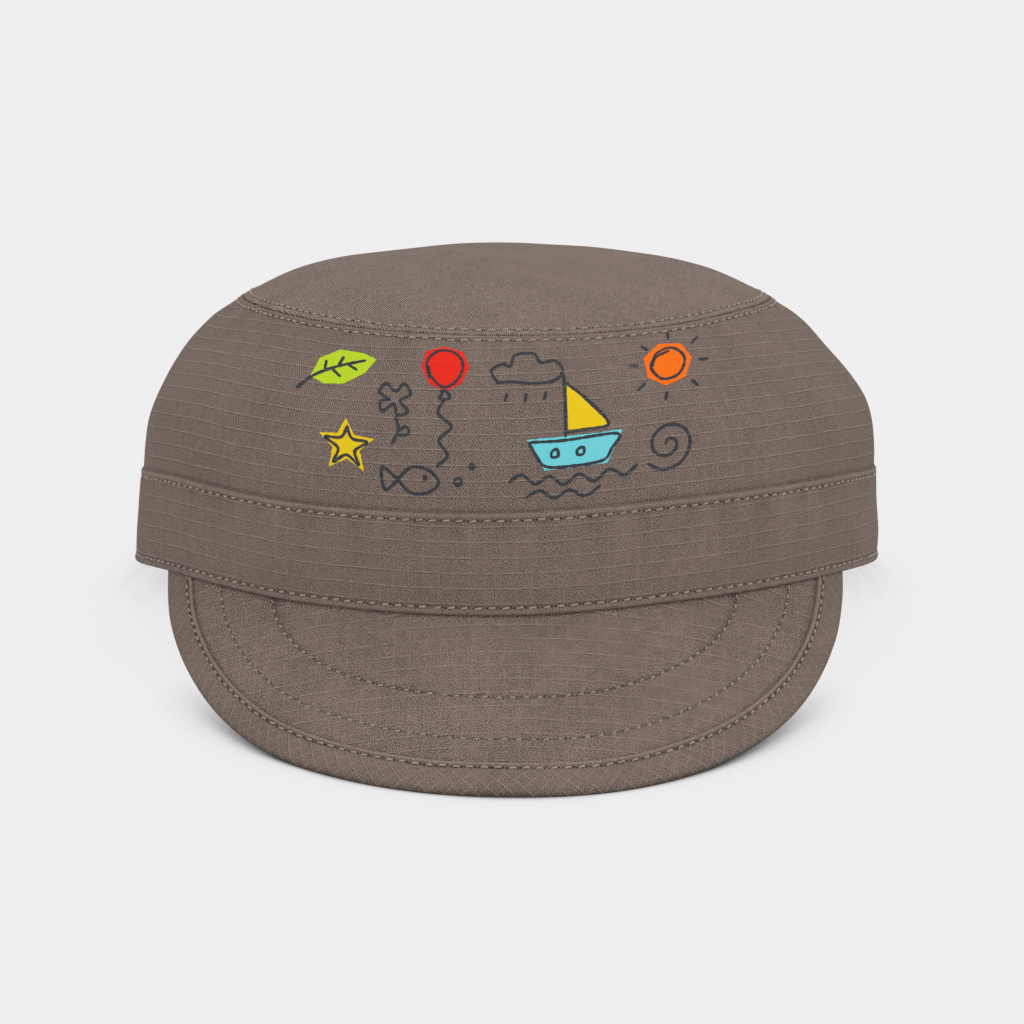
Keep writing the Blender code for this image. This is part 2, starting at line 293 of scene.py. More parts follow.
def top_point(azimuth, share):
    seam = seam_point(azimuth)
    level = BAND_HEIGHT + CROWN_RISE
    height = level + (seam[..., 2] - level) * share ** 2
    plan = DOME_PLAN - DOME_PLAN_LEAN * np.sin(azimuth)
    dome = TOP_DOME * (1.0 - share ** plan)
    return np.stack([seam[..., 0] * share, seam[..., 1] * share, height + dome], -1)


def peak_root(x):
    half_width = BAND_WIDTH / 2 - PEAK_SEAT
    azimuth = np.arcsin(np.clip(x / half_width, -0.999, 0.999))
    y = plan_point(azimuth, half_width, BAND_FRONT - PEAK_SEAT, BAND_BACK, BAND_PLAN)[1]
    return y, edge_height(azimuth, 1) - 0.3


def peak_half_width():
    return (BAND_WIDTH / 2 - PEAK_SEAT) * np.sin(np.radians(PEAK_END_DEG))


def peak_height(x, y):
    root, height = peak_root(x)
    aside = np.clip(np.abs(x) / peak_half_width(), 0.0, 1.0)
    slope = np.tan(np.radians(PEAK_SLOPE_DEG)) * between_rows(PEAK_ROWS, aside, 1)
    return height - (root - y) * slope


def peak_surface(x, y):
    tuck = PEAK_TUCK * hump(y, peak_root(x)[0], 1.3)
    return np.stack([x, y, peak_height(x, y) + tuck], -1)


def at_rest(points):
    """Points of the cap's frame, in millimetres, as they lie on the floor, in metres."""
    tip = np.radians(REST_TIP_DEG)
    y = points[..., 1] * np.cos(tip) - points[..., 2] * np.sin(tip) + REST_SHIFT[1]
    z = points[..., 1] * np.sin(tip) + points[..., 2] * np.cos(tip) + REST_SHIFT[2]
    x = points[..., 0] + REST_SHIFT[0]
    return np.stack([x, y, z], -1) * MM


def waves(seed, around, turns, count, along=0.0, rises=(0.0, 0.0)):
    """A smooth wandering value of about -1 to 1 that meets itself once round."""
    rng = np.random.default_rng(seed)
    total = 0.0
    for _ in range(count):
        turn = rng.integers(turns[0], turns[1] + 1) * rng.choice((-1.0, 1.0))
        rise = rng.uniform(rises[0], rises[1])
        shift = rng.uniform(0.0, 2.0 * np.pi)
        total = total + np.cos(turn * around + rise * along + shift)
    return total / np.sqrt(count / 2.0) * 0.6


def pucker(seed, around, away, fine, broad):
    """Short and longer gathers along a seam, which fade away from it.

    Each is given by its height, its turns once round, its count of waves and its reach.
    """
    total = 0.0
    for number, (height, turns, count, reach) in enumerate((fine, broad)):
        total = total + height * waves(seed + number, around, turns, count) * np.exp(-away / reach)
    return total


def hump(place, centre, width):
    return np.exp(-((place - centre) / width) ** 2)


def unit(vectors):
    return vectors / np.maximum(np.linalg.norm(vectors, axis=-1, keepdims=True), 1e-9)


def ring_grid(columns, rows):
    """Azimuths round the head and the values of the rows, as two grids."""
    return np.meshgrid(np.linspace(-np.pi, np.pi, columns, endpoint=False), rows)


def ring_normals(points):
    """Outward normals of a ring of cloth, whose columns go round it."""
    along = np.roll(points, -1, 1) - np.roll(points, 1, 1)
    normals = unit(np.cross(along, np.gradient(points, axis=0)))
    return normals * np.sign((normals * points)[..., :2].sum(-1).mean())


def arc_rows(points):
    """Distance of each point of a grid from its first row, along its column."""
    steps = np.linalg.norm(np.diff(points, axis=0), axis=-1)
    return np.concatenate([np.zeros((1, points.shape[1])), np.cumsum(steps, 0)])


def run_along(line):
    """Distance of each point of a line from its first."""
    steps = np.linalg.norm(np.diff(line, axis=0), axis=-1)
    return np.concatenate([[0.0], np.cumsum(steps)])


def run_round(line):
    """Distance along a closed line, up to its first point again."""
    return run_along(np.concatenate([line, line[:1]]))


def grid_faces(rows, columns, wrap_rows, wrap_columns):
    """Quads of a grid as an array of point numbers."""
    row = np.arange(rows if wrap_rows else rows - 1)
    column = np.arange(columns if wrap_columns else columns - 1)
    row, column = np.meshgrid(row, column, indexing="ij")
    above = (row + 1) % rows
    beside = (column + 1) % columns
    corners = [row * columns + column, row * columns + beside,
               above * columns + beside, above * columns + column]
    return np.stack([corner.ravel() for corner in corners], -1)


def cloth_object(name, points, faces, uv, material, wear_and_shade=None):
    """A mesh object from points in the cap's frame, pressed flat where the cap rests.

    A point's wear_and_shade, rubbed wear and painted light and shade, makes it paler where positive
    and darker where negative.
    """
    placed = at_rest(np.asarray(points, dtype=float))
    placed[:, 2] = np.maximum(placed[:, 2], 0.0)
    mesh = bpy.data.meshes.new(name)
    mesh.from_pydata(placed.tolist(), [], [tuple(face) for face in faces])
    if uv is not None:
        layer = mesh.uv_layers.new(name="cloth_mm")
        layer.data.foreach_set("uv", np.asarray(uv, dtype=np.float32).ravel())
    if wear_and_shade is not None:
        mark = mesh.attributes.new("wear_and_shade", "FLOAT", "POINT")
        mark.data.foreach_set("value", np.asarray(wear_and_shade, dtype=np.float32).ravel())
    mesh.materials.append(material)
    mesh.shade_smooth()
    item = bpy.data.objects.new(name, mesh)
    bpy.context.scene.collection.objects.link(item)
    return item


def corner_uv(faces, across, up, columns, length):
    """UVs in millimetres for each face corner, also where the ring and its section close."""
    u = across[faces]
    v = up[faces]
    closing = (faces % columns).max(1) - (faces % columns).min(1) > 1
    wrapped = closing[:, None] & (faces % columns == 0)
    u = np.where(wrapped, u + length, u)
    row = faces // columns
    folded = (row.max(1) - row.min(1) > 1)[:, None] & (row == 0)
    v = np.where(folded, up[row.max() * columns + faces % columns] + WALL_THICKNESS, v)
    return np.stack([u, v], -1).reshape(-1, 2)


def ring_cloth(name, grid, distance, material, wear_and_shade, row):
    """A closed ring of cloth: the grid's rows are one closed section, its columns go round."""
    rows, columns = grid.shape[:2]
    faces = grid_faces(rows, columns, True, True)
    around = run_round(grid[row])
    across = np.tile(around[:-1], rows)
    uv = corner_uv(faces, across, distance.ravel(), columns, around[-1])
    return cloth_object(name, grid.reshape(-1, 3), faces, uv, material, wear_and_shade.ravel())


# Where each seam and row of topstitching lies, in millimetres from its edge
TOP_ROW = 1.9
WALL_ROW = 1.55
BAND_UPPER_ROW = 1.65
BAND_LOWER_ROW = 1.75

# Lines of the peak, from its edge to its middle: how far in they lie at the ends and in front
PEAK_LINES = (
    # place, side in, front in, plan
    (0.0, 0.0, 0.0, 1.00),
    (1.0, BORDER_SIDE, BORDER_FRONT, 1.08),
    (2.0, 13.0, 11.8, 1.14),
    (3.0, 24.6, 21.8, 1.20),
    (4.0, 74.4, 41.8, 1.20),
)

# The band's section: height from the lower edge or, below zero, from the upper one, and how far
# the cloth stands out there, for a turned hem at the foot and a folded edge at the top
BAND_SECTION = (
    # height, out
    (0.00, -0.75),
    (0.12, -0.25),
    (0.35, 0.05),
    (0.75, 0.22),
    (1.15, 0.12),
    (1.50, -0.12),
    (1.75, -0.24),
    (2.05, -0.12),
    (2.60, 0.02),
    (4.00, 0.05),
    (7.00, 0.10),
    (-7.00, 0.10),
    (-4.00, 0.06),
    (-2.45, 0.00),
    (-1.95, -0.12),
    (-1.65, -0.22),
    (-1.38, -0.08),
    (-1.05, 0.14),
    (-0.65, 0.26),
    (-0.30, 0.16),
    (-0.10, -0.10),
    (0.00, -0.60),
)
BAND_LOWER_PLACES = 11


def peak_line(place, angle):
    """x and y of a line of the peak, between the ones that PEAK_LINES names."""
    side_in = between_straight(PEAK_LINES, place, 1)
    front_in = between_straight(PEAK_LINES, place, 2)
    pull = PEAK_REACH * between_rows(PULL_ROWS, np.degrees(angle), 1)
    pull = pull * np.clip((4.0 - np.asarray(place)) / 2.0, 0.0, 1.0)
    half_width = np.maximum(peak_half_width() - side_in - pull, 0.0)
    reach = BAND_FRONT + PEAK_REACH - front_in - pull
    end = peak_root(half_width)[0]
    ahead = np.maximum(np.cos(angle), 0.0) ** between_straight(PEAK_LINES, place, 3)
    sway = PEAK_SWAY * ahead * np.clip(half_width / peak_half_width(), 0.0, 1.0)
    x = half_width * np.sin(angle) + sway
    return x, end - (reach + end) * ahead


def between_straight(rows, place, column):
    table = np.array(rows, dtype=float)
    return np.interp(place, table[:, 0], table[:, column])


def crown_relief(azimuth, rise, down):
    """How far the crown wall's cloth stands out, and its wear and painted light and shade, by the
    distance down its side.
    """
    up = down[-1:] - down
    strip = 0.28 * hump(down, 0.70, 0.50) - 0.34 * hump(down, 0.0, 0.20)
    groove = -0.16 * hump(down, WALL_ROW, 0.28)
    fine = (0.12, (60, 150), 22, 2.6)
    broad = (0.16, (18, 60), 16, 7.0)
    seam_pucker = pucker(11, azimuth, down, fine, broad) * np.clip((down - 1.0) / 1.5, 0.15, 1.0)
    foot_pucker = 0.05 * waves(13, azimuth, (50, 130), 22) * np.exp(-up / 3.0)
    soft = 0.22 * waves(14, azimuth, (4, 16), 16, rise * 3.0, (0.3, 1.6))
    slack = 0.06 * waves(15, azimuth, (20, 60), 22, rise * 8.0, (0.5, 2.0))
    middle = np.clip(np.minimum(up, down) / 8.0, 0.0, 1.0)
    ticks = 0.5 + 0.5 * np.cos(azimuth * 146.0)
    # Painted light and shade: the raised strip paler and the stitch groove darker, the gathers
    # paler and darker with their folds, a painted shade just above the band's edge, and the top
    # seam's line and its dashed ticks darker
    worn_and_shaded = strip + groove + seam_pucker - 1.3 * hump(up, 0.0, 0.42)
    worn_and_shaded = worn_and_shaded - 0.35 * ticks * hump(down, 0.05, 0.22) - 0.45 * hump(down, 0.0, 0.16)
    corner = 0.85 * hump(np.degrees(azimuth), 90.0, 26.0) * hump(rise, 0.86, 0.09)
    return strip + groove + seam_pucker + foot_pucker + corner + (soft + slack) * middle, worn_and_shaded


# Creases that run down from the ends of the top seam: azimuth at the seam and lower down, how far
# down they reach, how wide they are and how deep. The wall's length round turns degrees into mm.
CROWN_GIRTH = 540.0
CREASE_ROWS = (
    # top, foot, reach, width, depth
    (-66.0, -76.0, 15.0, 2.0, 0.24),
    (-80.0, -90.0, 20.0, 3.0, 0.18),
    (72.0, 79.0, 9.0, 1.8, 0.24),
    (-54.0, -60.0, 9.0, 2.2, 0.14),
    (57.0, 62.0, 9.0, 2.2, 0.14),
    (118.0, 126.0, 15.0, 2.4, 0.5),
    (-120.0, -113.0, 14.0, 2.2, 0.45),
    (164.0, 158.0, 12.0, 2.4, 0.4),
)


def crease_relief(azimuth, down):
    """Creases as narrow valleys with a soft shoulder on the side away from the front."""
    degrees = np.degrees(azimuth)
    total = 0.0
    for top, foot, reach, width, depth in CREASE_ROWS:
        share = np.clip(down / reach, 0.0, 1.3)
        centre = top + (foot - top) * share ** 1.2
        turn = turn_from(degrees, centre)
        across = turn * (CROWN_GIRTH / 360.0) * np.sign(centre)
        fade = np.clip(1.25 - share, 0.0, 1.0) * np.clip(down / 1.5, 0.25, 1.0)
        shoulder = 0.9 * hump(across, width * 1.5, width * 1.4)
        total = total + depth * fade * (shoulder - hump(across, 0.0, width))
    return total


def crown_wall(material):
    """The wall's closed section: down the outside from the top seam, and up again inside."""
    drop = np.concatenate([np.linspace(0.0, 0.10, 18), np.linspace(0.10, 1.0, 58)[1:]])
    angles, rises = ring_grid(WALL_COLUMNS, 1.0 - drop)
    outer = wall_point(angles, rises)
    down = arc_rows(outer)
    normals = ring_normals(outer)
    relief, worn_and_shaded = crown_relief(angles, rises, down)
    creases = crease_relief(angles, down)
    relief = relief + creases
    # Painted light and shade of the creases: darker in their valleys, paler on their shoulders
    worn_and_shaded = worn_and_shaded + 0.25 * creases
    raised = outer + normals * relief[..., None]
    raised[-1, :, 2] -= WALL_TUCK
    inside = wall_point(*ring_grid(WALL_COLUMNS, np.linspace(0.0, 1.0, 14)))
    inside_normals = ring_normals(inside)
    inner = inside - inside_normals * WALL_THICKNESS
    inner[0, :, 2] -= 0.8
    inner[-1] -= inside_normals[-1] * 0.6
    grid = np.concatenate([raised, inner])[::-1]
    inner_rows = arc_rows(inner)
    up = down[-1:] - down
    up[-1] -= WALL_TUCK
    beyond = down[-1:] + WALL_THICKNESS + inner_rows[-1:] - inner_rows
    distance = np.concatenate([up, beyond])[::-1]
    wear_and_shade = np.concatenate([worn_and_shaded, np.full(inner.shape[:2], INSIDE_SHADE)])[::-1]
    item = ring_cloth("crown_wall_cloth", grid, distance, material, wear_and_shade, 50)
    return item, raised, normals, down


def crown_top(material):
    """The domed top panel with its rim turned under, a raised strip and soft dents."""
    columns = TOP_COLUMNS
    share = np.concatenate([np.linspace(0.01, 0.93, 44), np.linspace(0.93, 1.0, 20)[1:]])
    angles, shares = ring_grid(columns, share)
    outer = top_point(angles, shares)
    in_from_rim = arc_rows(outer[::-1])[::-1]
    normals = ring_normals(outer)
    ends = 1.0 - 0.4 * hump(np.abs(np.degrees(angles)), 96.0, 16.0)
    strip = 0.16 * ends * hump(in_from_rim, 0.80, 0.55) - 0.32 * hump(in_from_rim, 0.0, 0.18)
    left = np.clip(-np.sin(angles), 0.0, 1.0)
    fullness = 0.58 * hump(in_from_rim, 14.0, 9.0) - 0.60 * left * hump(in_from_rim, 36.0, 9.0)
    groove = -0.08 * hump(in_from_rim, TOP_ROW, 0.30)
    fine = (0.10, (50, 140), 22, 2.4)
    broad = (0.14, (12, 40), 14, 7.0)
    gathers = pucker(21, angles, in_from_rim, fine, broad)
    soft = 0.14 * waves_flat(23, outer[..., 0], outer[..., 1], 16.0, 60.0, 16)
    relief = strip + groove + gathers + fullness + soft * np.clip(in_from_rim / 12.0, 0.0, 1.0)
    raised = outer + normals * relief[..., None]
    inner = outer[::-4] - normals[::-4] * TOP_THICKNESS
    inner[0, :, 2] -= 0.6
    grid = np.concatenate([raised, inner])[::-1]
    faces = grid_faces(len(grid), columns, False, True)
    from_middle = np.hypot(outer[..., 0], outer[..., 1])
    arc = from_middle[:1] + in_from_rim[:1] - in_from_rim
    laid = outer[..., :2] * (arc / from_middle)[..., None]
    flat = np.concatenate([laid, inner[..., :2]])[::-1].reshape(-1, 2)
    middle = np.stack([inner[-1].mean(0), raised[0].mean(0)])
    points = np.concatenate([grid.reshape(-1, 3), middle])
    flat = np.concatenate([flat, middle[:, :2]])
    ring = np.arange(columns)
    following = (ring + 1) % columns
    centre = len(points) - 2
    last = centre - columns
    caps = [(centre, int(b), int(a)) for a, b in zip(ring, following)]
    caps += [(centre + 1, int(last + a), int(last + b)) for a, b in zip(ring, following)]
    every = [tuple(face) for face in faces] + caps
    corners = np.concatenate([faces.ravel(), np.array(caps).ravel()])
    # Painted light and shade: the raised strip paler, the stitch groove and the rim's seam darker,
    # the gathers paler and darker with their folds
    worn_and_shaded = strip * 1.4 + groove + gathers - 0.55 * hump(in_from_rim, 0.0, 0.16)
    wear_and_shade = np.concatenate([worn_and_shaded, np.full(inner.shape[:2], INSIDE_SHADE)])[::-1]
    wear_and_shade = np.concatenate([wear_and_shade.ravel(), [INSIDE_SHADE, 0.0]])
    item = cloth_object("crown_top_cloth", points, every, flat[corners], material, wear_and_shade)
    return item, raised, normals, in_from_rim


def waves_flat(seed, x, y, short, long, count):
    """A smooth wandering value of about -1 to 1 over a flat piece, by its wavelengths."""
    rng = np.random.default_rng(seed)
    total = 0.0
    for _ in range(count):
        heading = rng.uniform(0.0, np.pi)
        length = rng.uniform(short, long)
        shift = rng.uniform(0.0, 2.0 * np.pi)
        travel = x * np.cos(heading) + y * np.sin(heading)
        total = total + np.cos(2.0 * np.pi * travel / length + shift)
    return total / np.sqrt(count / 2.0) * 0.6


def head_band(material):
    """The band, with a folded upper edge, a turned hem and soft undulations between them."""
    table = np.array(BAND_SECTION)
    table[BAND_LOWER_PLACES:, 0] += BAND_HEIGHT
    table[-1, 0] += 0.001
    fold = BAND_HEIGHT - 3.2
    dense = np.concatenate([
        np.linspace(0.0, 3.0, 22), np.linspace(3.0, fold, 20)[1:],
        np.linspace(fold, BAND_HEIGHT, 24)[1:],
    ])
    outs = np.interp(dense, table[:, 0], table[:, 1])
    angles, rises = ring_grid(WALL_COLUMNS, dense / BAND_HEIGHT)
    outward = band_outward(angles)
    height = dense[:, None]
    top = BAND_HEIGHT - height
    pull = waves(31, angles, (60, 150), 22)
    drag = waves(32, angles, (20, 55), 16)
    foot_pull = waves(33, angles, (60, 150), 22)
    below = np.maximum(top - 2.0, 0.0)
    gathers = 0.10 * pull * np.exp(-below / 2.5) * np.clip(top / 2.0, 0.3, 1.0)
    gathers = gathers + 0.16 * drag * np.exp(-below / 6.0) * np.clip(top / 2.5, 0.0, 1.0)
    gathers = gathers + 0.09 * foot_pull * np.exp(-np.maximum(height - 1.8, 0.0) / 2.5)
    soft = 0.20 * waves(34, angles, (5, 22), 18, height * 0.25, (0.3, 1.4))
    face = np.clip((height - 2.0) / 4.0, 0.0, 1.0) * np.clip((top - 2.4) / 4.0, 0.0, 1.0)
    side = hump(np.abs(np.degrees(angles)), 90.0, 30.0)
    relief = outs[:, None] + gathers + soft * face - 0.45 * side * np.exp(-top / 2.5)
    outer = band_point(angles, rises) + outward * relief[..., None]
    inner_heights = np.linspace(BAND_HEIGHT, 0.0, 12)
    inner_angles, inner_rises = ring_grid(WALL_COLUMNS, inner_heights / BAND_HEIGHT)
    depth = np.full(12, BAND_THICKNESS)
    depth[[0, -1]] -= 0.7
    inner = band_point(inner_angles, inner_rises)
    inner = inner - band_outward(inner_angles) * depth[:, None, None]
    grid = np.concatenate([outer, inner])
    distance = arc_rows(grid)
    # Painted light and shade: paler where the cloth stands out and darker where it sinks, the
    # folded upper edge paler, as a painted highlight and as rubbed wear, and painted shade along
    # the hem's foot
    worn_and_shaded = outs[:, None] + gathers + 0.30 * hump(top, 0.65, 0.40)
    worn_and_shaded = worn_and_shaded - 0.35 * hump(height, 0.0, 0.35)
    wear_and_shade = np.concatenate([worn_and_shaded, np.full(inner.shape[:2], INSIDE_SHADE)])
    item = ring_cloth("head_band_cloth", grid, distance, material, wear_and_shade, 30)
    return item, outer, outward, np.broadcast_to(height, angles.shape)


def peak_normals(x, y):
    step = 0.05
    across = peak_surface(x + step, y) - peak_surface(x - step, y)
    ahead = peak_surface(x, y + step) - peak_surface(x, y - step)
    return unit(np.cross(across, ahead))


def peak_puff(place, x, y):
    """How far the peak's padded cloth stands out between its rows of stitches."""
    grooves = -0.20 * hump(place, 2.0, 0.035) - 0.20 * hump(place, 3.0, 0.035)
    share = place - np.floor(place)
    puff = 0.30 * np.sin(np.pi * np.clip(share, 0.0, 1.0)) ** 0.6
    puff = np.where(place > 3.0, 0.30 * np.clip((place - 3.0) / 0.15, 0.0, 1.0) ** 0.5, puff)
    soft = 0.07 * waves_flat(41, x, y, 9.0, 34.0, 20)
    return grooves + puff * 0.5 + soft


# How far the peak cloth's grain follows its bend: mm back for each mm that it falls to the sides
PEAK_GRAIN = 0.70

# How dark the painted shade is on the peak's cloth where it meets the band, under its edge
ROOT_SHADE = 1.1


def peak_panel(material):
    """The middle of the peak as a padded shell, from its root under the band to the border."""
    columns = 420
    angle = np.linspace(-np.pi / 2, np.pi / 2, columns)
    place = np.concatenate([
        np.linspace(0.86, 1.9, 24), np.linspace(1.9, 2.1, 12)[1:], np.linspace(2.1, 2.9, 16)[1:],
        np.linspace(2.9, 3.1, 12)[1:], np.linspace(3.1, 3.995, 24)[1:],
    ])
    angles, places = np.meshgrid(angle, place)
    x, y = peak_line(places, angles)
    base = peak_surface(x, y)
    normals = peak_normals(x, y)
    relief = peak_puff(places, x, y)
    relief = np.where(places < 1.12, np.minimum(relief, 0.05 + (places - 1.0)), relief)
    upper = base + normals * relief[..., None]
    lower = (base - normals * (PEAK_THICKNESS - 0.1 + 0.4 * relief[..., None]))[::-3]
    grid = np.concatenate([upper, lower])
    faces = grid_faces(len(grid), columns, True, False)
    grain = y + PEAK_GRAIN * (peak_height(x, y) - peak_height(np.zeros_like(x), y))
    laid = np.stack([x, grain], -1)
    flat = np.concatenate([laid, laid[::-3]]).reshape(-1, 2)
    # Painted shade: darker in the stitch grooves, along the border's seam, under the band's edge
    # and on the underside
    grooves = -0.75 * hump(places, 2.0, 0.022) - 0.75 * hump(places, 3.0, 0.022)
    grooves = grooves - 0.45 * hump(places, 1.0, 0.10)
    shade = ROOT_SHADE * hump(y, peak_root(x)[0], 0.6)
    wear_and_shade = np.concatenate([grooves - shade, np.full_like(grooves[::-3], -0.1)]).ravel()
    points = grid.reshape(-1, 3)
    return cloth_object("peak_panel_cloth", points, faces, flat[faces.ravel()], material, wear_and_shade)


# The border's upper face, as a strip folded along its seam: share of the way from there to the
# peak's edge, and how far the cloth stands out. From BORDER_ROUND on, the edge is round.
BORDER_SECTION = (
    # share, out
    (0.000, 0.02),
    (0.020, 0.36),
    (0.050, 0.60),
    (0.090, 0.70),
    (0.130, 0.58),
    (0.165, 0.28),
    (0.205, 0.08),
    (0.250, 0.24),
    (0.330, 0.37),
    (0.500, 0.44),
    (0.700, 0.42),
    (0.850, 0.32),
    (0.930, 0.12),
)
BORDER_STITCHES = 0.215
BORDER_ROUND = 0.93


def border_point(share, angle):
    """x and y between the border's seam and the peak's edge."""
    seam_x, seam_y = peak_line(np.ones_like(angle), angle)
    edge_x, edge_y = peak_line(np.zeros_like(angle), angle)
    return seam_x + (edge_x - seam_x) * share, seam_y + (edge_y - seam_y) * share


def peak_border(material):
    """The bias strip: a folded edge along its seam, its face, the round edge and the underside."""
    columns = 700
    angle = np.linspace(-np.pi / 2, np.pi / 2, columns)
    table = np.array(BORDER_SECTION)
    shares = np.concatenate([np.linspace(0.0, 0.26, 20), np.linspace(0.26, BORDER_ROUND, 16)[1:]])
    half = PEAK_THICKNESS / 2

    # Rows of the closed section: share of the way to the edge, how far out, how far beyond
    rows = [(share, out, 0.0) for share, out in zip(shares, np.interp(shares, *table.T))]
    for tilt in np.linspace(np.pi / 2, -np.pi / 2, 15)[1:-1]:
        out = half * (np.sin(tilt) - 1.0) + 0.12 * np.sin(tilt)
        rows.append((BORDER_ROUND, out, (half - 0.2) * np.cos(tilt)))
    for share in np.linspace(BORDER_ROUND, 0.0, 12):
        rows.append((share, -PEAK_THICKNESS - (0.12 if share > 0.05 else -0.3), 0.0))

    grid = []
    marks = []
    pull = waves(51, angle * 2.0, (30, 80), 22)
    soft = waves(52, angle * 2.0, (4, 16), 12)
    for share, out, beyond in rows:
        x, y = border_point(np.full_like(angle, share), angle)
        base = peak_surface(x, y)
        far_x, far_y = border_point(np.full_like(angle, share + 0.05), angle)
        outward = unit(peak_surface(far_x, far_y) - base)
        shows = out > -0.5
        ripple = 0.07 * pull * np.exp(-max(share - 0.18, 0.0) * 7.0) + 0.10 * soft
        lift = out + shows * ripple * np.clip(share / 0.05, 0.0, 1.0)
        grid.append(base + peak_normals(x, y) * lift[:, None] + outward * beyond)
        # Painted light and shade: paler where the cloth stands out, painted shade under the band's
        # edge, and darker on the lower half of the round edge
        mark = shows * lift * 0.2 - ROOT_SHADE * hump(y, peak_root(x)[0], 0.6)
        marks.append(mark - 0.9 * np.clip((-0.35 - out) / 0.9, 0.0, 1.0) * (beyond > 0.0))
    grid = np.stack(grid)[::-1]
    faces = grid_faces(len(grid), columns, True, False)
    distance = arc_rows(grid)
    across = np.tile(run_along(grid[10]), len(grid))
    uv = np.stack([across[faces], distance.ravel()[faces]], -1).reshape(-1, 2)

    # The folded edge is painted pale, highlight and rubbed wear; seam and stitches get painted
    # shade
    places = np.array([share if out > -0.5 else 9.0 for share, out, _ in rows])
    ridge = 0.80 * hump(places, 0.085, 0.060) - 0.75 * hump(places, 0.0, 0.018)
    ridge = ridge - 0.60 * hump(places, BORDER_STITCHES, 0.045)
    wear_and_shade = (np.stack(marks) + ridge[:, None])[::-1].ravel()
    return cloth_object("peak_border_cloth", grid.reshape(-1, 3), faces, uv, material, wear_and_shade)


# The print: shapes as if cut from coloured paper, by millimetres right of the cap's middle and
# down from the top seam
PAPER_SHAPES = (
    # name, ink, corners
    ("leaf", "lime", ((-41.5, 14.0), (-39.5, 9.4), (-35.0, 6.6), (-29.8, 6.9), (-27.2, 8.2),
                      (-29.6, 11.6), (-34.2, 14.6), (-38.6, 15.2))),
    ("balloon", "red", ((-17.6, 9.4), (-16.6, 5.4), (-12.8, 3.6), (-8.8, 4.9), (-7.4, 8.8),
                        (-9.2, 12.6), (-12.4, 14.6), (-15.8, 13.0))),
    ("sail", "yellow", ((13.0, 12.6), (22.2, 22.4), (13.4, 23.6))),
    ("hull", "cyan", ((4.6, 24.8), (24.8, 23.6), (21.6, 30.4), (8.4, 31.4))),
    ("sun", "orange", ((29.4, 8.2), (32.6, 5.0), (37.4, 5.4), (39.8, 9.4), (38.4, 13.8),
                       (34.0, 15.2), (30.2, 12.8))),
    ("star", "yellow", ((-33.6, 22.2), (-31.8, 25.6), (-27.6, 26.0), (-30.6, 28.8), (-29.6, 33.0),
                        (-33.4, 30.8), (-37.2, 33.0), (-36.4, 28.8), (-39.4, 26.0), (-35.4, 25.6))),
)
INKS = {
    "lime": (178, 205, 40),
    "red": (222, 42, 30),
    "orange": (236, 108, 22),
    "yellow": (224, 190, 28),
    "cyan": (108, 200, 210),
}

